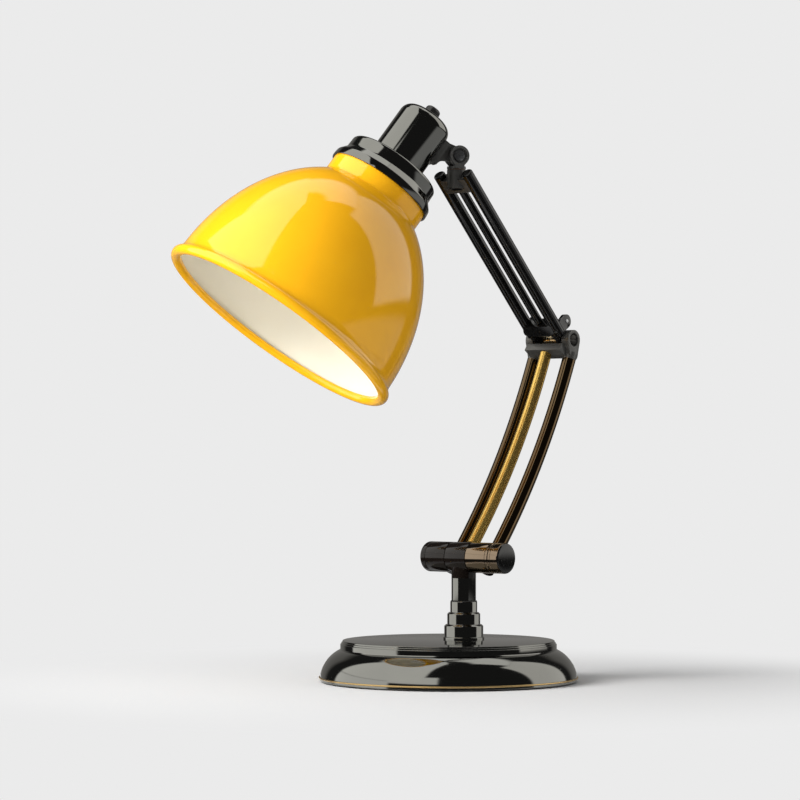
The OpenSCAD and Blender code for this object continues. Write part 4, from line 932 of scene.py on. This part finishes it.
def makeUpperArm():
    s, spread, drop = upperSizes, knuckleSizes["spread"], lampPose["upperDrop"]
    for side, name in ((-1, "Left"), (1, "Right")):
        tube = lathe("upperTube" + name, rounded([(0, s["foot"]), (s["radius"], s["foot"]),
                     (s["radius"], s["top"], s["endEdge"]), (0, s["top"])], step=15), 64)
        tube.data.transform(shift(side * spread, -drop, 0))
        place(tube, atElbow, "upper_arm", "upper_" + name.lower() + "_tube", ["armBlack"], smooth=35)
    middle = rod("upperConduit", s["conduit"], s["foot"], s["boxLow"], shift(0, -drop, 0))
    place(middle, atElbow, "upper_arm", "upper_conduit", ["armBlack"], smooth=35)
    head = block("headEndBlock", (-spread, -drop - s["boxHalf"], s["boxLow"]),
                 (spread, -drop + s["boxHalf"], s["boxHigh"]))
    upright = atElbow.inverted() @ atArmEnd
    combine(head, [rod("boss", s["bossRadius"], s["bossLow"], s["bossHigh"], upright, 64)])
    bores = [rod("bore", s["radius"] + s["play"], s["boxLow"] - 1, s["boxHigh"] + 4,
                 shift(side * spread, -drop, 0), 64) for side in (-1, 1)]
    bores.append(rod("pocket", s["pocketRadius"], s["bossLow"] - 1, s["bossLow"] + s["pocketDeep"], upright))
    combine(head, bores, "DIFFERENCE")
    softenEdges(head, 0.5)
    place(head, atElbow, "upper_arm", "head_end_block", ["satinBlack"])


makeUpperArm()
dressInPlace({"swivel_washer": "redFibre"})
print("upper arm made")


# head joint

jointSizes = {"discLow": 8.0, "discHigh": 9.9, "discRadius": 7.0, "ear": 7.5, "foot": 3.6, "footTop": 12.5,
              "ears": ((-6.6, -3.6), (3.6, 8.0)), "recess": 5.6, "recessDeep": 2.6, "spindle": 2.5,
              "spindleFoot": -6.2}
bracketSizes = {"half": 3.0, "eye": 6.6, "padBack": 18.5, "padFront": 23.5, "padLow": 42.0, "padHigh": 60.4,
                "padHalf": 8.0, "padEdge": 1.2, "wall": 19.5, "lip": 4.2, "hollow": 9.0, "housing": 20.55,
                "shoulder": (0.9, 0.06), "eyeArc": (88, -82, 26), "hollowAt": (0.6, 0.4),
                "hollowArc": (84, 176, 16)}


def makeHeadJoint():
    s, rise = jointSizes, lampPose["tiltRise"]
    knuckle = rod("swivelKnuckle", s["discRadius"], s["discLow"], s["discHigh"], None, 64)
    outline = linkOutline(0, rise, s["ear"], 0, s["discLow"] + s["foot"] + 0.2, s["foot"])
    parts = [slab("ear", outline, *ends) for ends in s["ears"]]
    parts += [block("earFoot", (x0, -s["foot"], s["discLow"] + 0.5), (x1, s["foot"], s["footTop"]))
              for x0, x1 in s["ears"]]
    parts.append(rod("spindle", s["spindle"], s["spindleFoot"], s["discHigh"] - 0.5, None, 32))
    combine(knuckle, parts)
    face = s["ears"][1][1]
    recess = rod("recess", s["recess"], face - s["recessDeep"], face + 2, shift(0, 0, rise) @ alongX)
    combine(knuckle, [recess], "DIFFERENCE")
    softenEdges(knuckle, 0.45)
    place(knuckle, atSwivel, "swivel", "swivel_knuckle", ["jointGrey"])


def makeBracket():
    s = bracketSizes
    reach, drop, r = lampPose["headReach"], lampPose["headDrop"], s["eye"]
    (back, fall), (inset, gap) = s["shoulder"], s["hollowAt"]
    outline = [(s["wall"], s["padHigh"]), (reach - back, drop + r - fall)]
    outline += arc(reach, drop, r, *s["eyeArc"])
    outline += arc(reach - inset, drop - r - s["hollow"] - gap, s["hollow"], *s["hollowArc"])
    outline += [(s["wall"] + s["lip"], s["padLow"]), (s["wall"], s["padLow"])]
    bracket = slab("headBracket", outline, -s["half"], s["half"])
    pad = slab("pad", rounded([(s["padBack"], s["padLow"]), (s["padFront"], s["padLow"], s["padEdge"]),
               (s["padFront"], s["padHigh"], s["padEdge"]), (s["padBack"], s["padHigh"])]),
               -s["padHalf"], s["padHalf"])
    combine(bracket, [pad])
    combine(bracket, [rod("housing", s["housing"], 20, 75, None, 128)], "DIFFERENCE")
    softenEdges(bracket, 0.5)
    place(bracket, atHead, "head", "head_bracket", ["satinBlack"])


makeHeadJoint()
makeBracket()
dressNode("tilt_bolt", "swivel", "turnedSteel", 0.15)
dressNode("tilt_nut", "swivel", "black", 0.3)
dressNode("swivel_nut", "swivel", "blackedSteel", 0.2)
dressInPlace({"tilt_washers": "redFibre", "bracket_screws": "turnedSteel"})
print("head joint made")


# head

headSizes = {"housingRadius": 20.5, "housingTop": 68.8, "housingRound": 8.0, "shoulder": 1.6, "mouth": 19.2,
             "collarTop": 23.3, "collarUpper": 36.2, "collarEdge": 2.8, "collarLower": 41.2,
             "collarFoot": 2.2, "wall": 1.2, "bandFoot": 19.0, "flareTop": 13.2, "flareFoot": 7.8,
             "skirtTop": 6.2}
shadeSizes = {"crown": 5.2, "neck": 39.6, "neckRound": 3.0, "dome": 91.2, "height": 122.0, "drop": 120.0,
              "rimRadius": 4.0, "rimAt": 91.3, "rimDrop": 5.4, "mouth": 90.0, "wall": 1.2, "hole": 19.8,
              "neckEase": ((0, 2.2), (0.05, 1.2), (0.35, 0.2)), "rimTop": 8.6, "rimArc": (68, -196, 38),
              "rimEase": ((91.45, 7.2), (91.6, 6.2), (91.9, 5.2), (92.4, 4.4)), "innerRound": 1.8,
              "rings": 84, "steps": 224}
switchKnobSizes = {"profile": ((0, 70.4), (5.8, 70.4), (6.0, 70.8), (6.0, 73.6), (5.5, 74.9), (4.8, 75.6),
                               (4.0, 75.8), (0, 75.8)),
                   "sides": 12, "spindle": 2.0, "spindleLow": 62.0, "spindleHigh": 71.2}


def makeHousing():
    s = headSizes
    r, top, seat = s["housingRadius"], s["collarTop"], s["collarTop"] + s["shoulder"]
    housing = lathe("socketHousing", rounded([
        (0, seat), (r - s["shoulder"], seat), (r - s["shoulder"], top), (r, top, 0.3),
        (r, s["housingTop"], s["housingRound"]), (0, s["housingTop"])], step=5), 128)
    place(housing, atHead, "head", "socket_housing", ["headBlack"])


def makeCollar():
    s = headSizes
    up, low, top, edge, w = s["collarUpper"], s["collarLower"], s["collarTop"], s["collarEdge"], s["wall"]
    outer = [(s["mouth"], top)] + arc(up - edge, top - edge, edge, 90, 0, 12)
    outer += rounded([(up, s["bandFoot"]), (up + 0.3, s["flareTop"], 2.2), (low - 0.4, s["flareFoot"], 2.4),
                      (low, 4.6)], step=6)
    outer += rounded([(low, s["skirtTop"]), (low, s["collarFoot"], 0.4), (low - w, s["collarFoot"])])[1:]
    inner = [(low - w, s["skirtTop"]), (up + 0.5 - w, 15.4), (up - w, 18.5), (up - w - 3, top - w),
             (s["mouth"], top - w)]
    collar = lathe("shadeCollar", outer + inner, 160, closed=True)
    place(collar, atHead, "head", "shade_collar", ["headBlack"])


def makeShade():
    s = shadeSizes
    n, w, neck = s["rings"], s["wall"], s["neck"]

    def dome(inset):
        r, h = s["dome"] - inset, s["height"] - inset
        first = math.asin((neck - inset) / r)
        angles = [first + (math.pi / 2 - first) * k / n for k in range(n + 1)]
        return [(r * math.sin(angle), -s["drop"] + h * math.cos(angle)) for angle in angles]

    outerDome, innerDome = dome(0), dome(w)
    lip = -s["drop"] - s["rimDrop"]
    neckFoot, crown = outerDome[0][1], s["crown"]
    ease = [(neck + across, neckFoot + up) for across, up in s["neckEase"]]    # soft turn into the dome
    outer = rounded([(s["hole"], crown), (neck, crown, s["neckRound"]), ease[0]], step=8) + ease[1:]
    outer += [point for point in outerDome[2:] if point[1] > lip + s["rimTop"]]
    outer += [(across, lip + up) for across, up in s["rimEase"]]    # and into the rolled rim
    outer += arc(s["rimAt"], lip, s["rimRadius"], *s["rimArc"])
    inner = [(s["mouth"], lip + 1.6)] + innerDome[::-1]
    inner += rounded([(neck - w, innerDome[0][1] + 1), (neck - w, crown - w, s["innerRound"]),
                      (s["hole"], crown - w)])
    marks = [0] * (len(outer) - 1) + [1] * len(inner) + [0]    # cream inside
    shade = lathe("domeShade", outer + inner, s["steps"], closed=True, marks=marks)
    place(shade, atHead, "head", "shade", ["yellow", "cream"])


def makeSwitchKnob():
    s = switchKnobSizes
    knob = lathe("switchKnob", s["profile"], s["sides"])
    softenEdges(knob, 0.32, angle=20)
    combine(knob, [rod("spindle", s["spindle"], s["spindleLow"], s["spindleHigh"], None, 24)])
    place(knob, atHead, "switch", "switch_knob", ["switchPlastic"])


makeHousing()
makeCollar()
makeShade()
makeSwitchKnob()
dressNode("switch_nut", "head", "black", 0.2)
dressInPlace({"rotary_switch": "blackRubber", "holder_nut": "turnedSteel", "contact_tongue": "trimBrass"})
print("head made")


# lampholder and bulb

holderSizes = {"mouth": 13.5, "lip": 14.4, "skirt": 19.0, "body": 19.5, "flange": 24, "stub": 16.8,
               "foot": -16, "flangeLow": 5.2, "flangeHigh": 8.2, "bodyTop": 22.1, "top": 31, "deep": 12}
bulbSizes = {"capLow": -15.0, "overlap": 0.6, "globeRadius": 27.5, "globeHeight": -59.1, "neck": 11.7,
             "neckRound": 8, "wall": 0.9}


def makeLampholder():
    s = holderSizes
    holder = lathe("lampholder", rounded([
        (s["mouth"], s["deep"]), (s["mouth"], s["foot"] + 0.8, 0.4), (s["lip"], s["foot"], 0.4),
        (s["skirt"], s["foot"], 0.9), (s["body"], s["foot"] + 1.6, 0.3), (s["body"], s["flangeLow"]),
        (s["flange"], s["flangeLow"], 0.5), (s["flange"], s["flangeHigh"], 0.5), (s["body"], s["flangeHigh"]),
        (s["body"], s["bodyTop"]), (s["stub"], s["bodyTop"]), (s["stub"], s["top"], 0.6), (0, s["top"]),
        (0, s["deep"])], step=18), 96)
    place(holder, atHead, "head", "lampholder", ["glazedCeramic"])


def makeBulb():
    s = bulbSizes
    foot, centre, neck, thick = s["capLow"] + s["overlap"], s["globeHeight"], s["neck"], s["wall"]
    neckLow = s["capLow"] - 10    # where the neck starts to widen
    lean = math.degrees(math.asin((s["globeRadius"] - neck) / (neckLow - centre)))
    globe = arc(0, centre, s["globeRadius"], -90, lean, 44)
    globe[0] = (0, globe[0][1])
    neckZ = neckLow + neck * math.sin(math.radians(lean))
    envelope = globe + rounded([globe[-1], (neck + 0.2, neckZ, s["neckRound"]), (neck, foot)], step=6)[1:]
    envelope += [(neck - thick, foot), (neck - thick, neckZ)]
    wall = arc(0, centre, s["globeRadius"] - thick, lean, -90, 40)
    wall[-1] = (0, wall[-1][1])
    place(lathe("bulbGlass", envelope + wall, 96), atHead, "head", "bulb_glass", ["frostedGlass"],
          40)


makeLampholder()
makeBulb()
dressNode("shade_ring", "head", "glazedCeramic", 0.4)
dressNode("bulb_cap", "head", "bulbMetal", 0.2)
print("bulb made")


# floor, light and camera

stageLook = {"background": 0.831, "floorTone": 0.62, "floorRings": (0, 40, 150, 400, 900, 6000),
             "innerFade": 0.10, "outerFade": 0.42, "mirrorInner": 0.12, "mirrorOuter": 0.22}
lightLook = {
    "room": 0.48, "roomTone": (0.82, 0.82, 0.82, 1), "mirrorRoom": 0.03, "aimedAt": (-0.02, 0.0, 0.24),
    "key": {"from": (-0.76, -1.30, 1.12), "size": 0.9, "power": 46.0},
    "fill": {"from": (1.5, 0.6, 0.7), "size": 1.2, "power": 4.0},
    "low": {"from": (-0.15, -1.25, 0.08), "size": 0.7, "power": 9.5},
}
# the studio that shiny surfaces show: azimuth, half width, elevation, half height, edge, strength, tone
mirrorStudio = {
    "leftBox": (-50, 35, 7, 16, 4, 1.5, (1.0, 0.99, 0.96)),
    "frontBox": (-34, 52, 45, 27, 5, 1.55, (1.0, 0.99, 0.95)),
    "lowFrontBox": (4, 27, 27, 13, 4, 1.5, (1.0, 0.99, 0.96)),
    "topBox": (-60, 78, 73, 20, 5, 1.55, (1.0, 0.99, 0.96)),
    "backBand": (-176, 50, 68, 13, 5, 1.5, (1.0, 0.99, 0.96)),
    "rightBox": (144, 26, 29, 32, 4, 1.3, (1.0, 0.98, 0.94)),
    "paleFloor": (126, 44, -15, 11, 6, 0.46, (1.0, 1.0, 1.0)),
    "backdrop": (219, 44, 4, 34, 14, 0.22, (1.0, 0.97, 0.92)),
}
cameraLook = {"from": (1.3838, -1.7094, 0.172), "to": (-0.0278, -0.0225, 0.2076), "lens": 134.0,
              "sensor": 36.0}


def showBackdrop(tree):
    # background seen by the camera, reflections and glass, not by diffuse light
    path = tree.nodes.new("ShaderNodeLightPath").outputs
    first = sums(tree, "MAXIMUM", path["Is Camera Ray"], path["Is Glossy Ray"])
    return sums(tree, "MAXIMUM", first, path["Is Transmission Ray"]), path["Is Glossy Ray"]


def mixShader(tree, factor, first, second):
    return put(tree, "ShaderNodeMixShader", {0: factor, 1: first, 2: second}).outputs[0]


def makeFloor():
    # a matt floor that turns into the plain background, and is clear from below
    s = stageLook
    floor = lathe("studioFloor", [(radius, 0) for radius in s["floorRings"]], 96)
    floor.data.transform(toMetres)
    if floor.data.polygons[0].normal.z < 0:
        floor.data.flip_normals()
    finish, tree, shader, where = newFinish("paleFloor")
    fill(tree, shader, {"Base Color": (s["floorTone"],) * 3 + (1,), "Roughness": 0.9,
         "Specular IOR Level": 0.0})
    flat = put(tree, "ShaderNodeEmission", {"Color": (s["background"],) * 3 + (1,),
               "Strength": 1.0}).outputs[0]
    far = put(tree, "ShaderNodeVectorMath", {0: where}, operation="LENGTH").outputs["Value"]
    seen, glossy = showBackdrop(tree)
    fade = remap(tree, far, s["innerFade"], s["outerFade"], curve="SMOOTHSTEP")
    lit = mixShader(tree, sums(tree, "MULTIPLY", fade, seen), shader.outputs[0], flat)
    mirrorFade = remap(tree, far, s["mirrorInner"], s["mirrorOuter"], curve="SMOOTHSTEP")
    beyond = sums(tree, "MULTIPLY", mirrorFade, glossy)
    fromBelow = tree.nodes.new("ShaderNodeNewGeometry").outputs["Backfacing"]
    clear = tree.nodes.new("ShaderNodeBsdfTransparent").outputs[0]
    whole = mixShader(tree, sums(tree, "MAXIMUM", beyond, fromBelow), lit, clear)
    tree.links.new(whole, tree.nodes["Material Output"].inputs["Surface"])
    floor.data.materials.append(finish)


def softBoxGroup():
    # how much of a soft box a direction looks at, in degrees; azimuth 0 is the lamp's front
    group, into, out = newGroup("softBox", {
        "Direction": "Vector", "Azimuth": 0.0, "Half width": 30.0, "Elevation": 30.0, "Half height": 30.0,
        "Edge": 3.0}, {"Mask": "Float"})
    way = put(group, "ShaderNodeSeparateXYZ", {0: into["Direction"]}).outputs
    across = sums(group, "ARCTAN2", way[0], sums(group, "MULTIPLY", way[1], -1.0))
    above = sums(group, "ARCSINE", way[2])
    masks = []
    for angle, centre, half in ((across, "Azimuth", "Half width"), (above, "Elevation", "Half height")):
        off = sums(group, "SUBTRACT", sums(group, "DEGREES", angle), into[centre])
        far = sums(group, "ABSOLUTE", sums(group, "WRAP", off, 180.0, -180.0))
        inside = sums(group, "SUBTRACT", into[half], far)
        masks.append(remap(group, inside, 0.0, into["Edge"], curve="SMOOTHSTEP"))
    group.links.new(sums(group, "MULTIPLY", *masks), out["Mask"])
    return group


def makeWorld():
    # the camera sees the plain background, matt surfaces a plain room, shiny ones the studio
    world = bpy.data.worlds.new("studio")
    bpy.context.scene.world = world
    world.use_nodes = True
    tree = world.node_tree
    tree.nodes.clear()

    def glow(colour, strength):
        return put(tree, "ShaderNodeBackground", {"Color": colour, "Strength": strength}).outputs[0]

    seen, glossy = showBackdrop(tree)
    direction = tree.nodes.new("ShaderNodeTexCoord").outputs["Generated"]
    softBox = softBoxGroup()
    total = put(tree, "ShaderNodeVectorMath", {0: (lightLook["mirrorRoom"],) * 3}, operation="ADD").outputs[0]
    for azimuth, halfWidth, elevation, halfHeight, edge, strength, tone in mirrorStudio.values():
        mask = useGroup(tree, softBox, {"Direction": direction, "Azimuth": azimuth, "Half width": halfWidth,
                        "Elevation": elevation, "Half height": halfHeight, "Edge": edge})[0]
        box = put(tree, "ShaderNodeVectorMath", {0: tuple(strength * part for part in tone),
                  "Scale": mask}, operation="SCALE").outputs[0]
        total = put(tree, "ShaderNodeVectorMath", {0: total, 1: box}, operation="MAXIMUM").outputs[0]
    plain = glow((stageLook["background"],) * 3 + (1,), 1.0)
    shown = mixShader(tree, glossy, plain, glow(total, 1.0))
    whole = mixShader(tree, seen, glow(lightLook["roomTone"], lightLook["room"]), shown)
    out = tree.nodes.new("ShaderNodeOutputWorld")
    tree.links.new(whole, out.inputs["Surface"])


def aim(obj, target):
    obj.rotation_euler = (Vector(target) - obj.location).to_track_quat("-Z", "Y").to_euler()


def makeLights():
    for name in ("key", "fill", "low"):
        look = lightLook[name]
        data = bpy.data.lights.new(name + "Light", "AREA")
        data.energy, data.shape, data.size = look["power"], "SQUARE", look["size"]
        lamp = link(name + "Light", data)
        lamp.location = look["from"]
        aim(lamp, lightLook["aimedAt"])
        lamp.visible_glossy = False


def makeCamera():
    data = bpy.data.cameras.new("camera")
    data.lens, data.sensor_width = cameraLook["lens"], cameraLook["sensor"]
    camera = link("camera", data)
    camera.location = cameraLook["from"]
    aim(camera, cameraLook["to"])
    bpy.context.scene.camera = camera
    bpy.context.scene.view_settings.view_transform = "Standard"


makeFloor()
makeWorld()
makeLights()
makeCamera()
print("stage made")
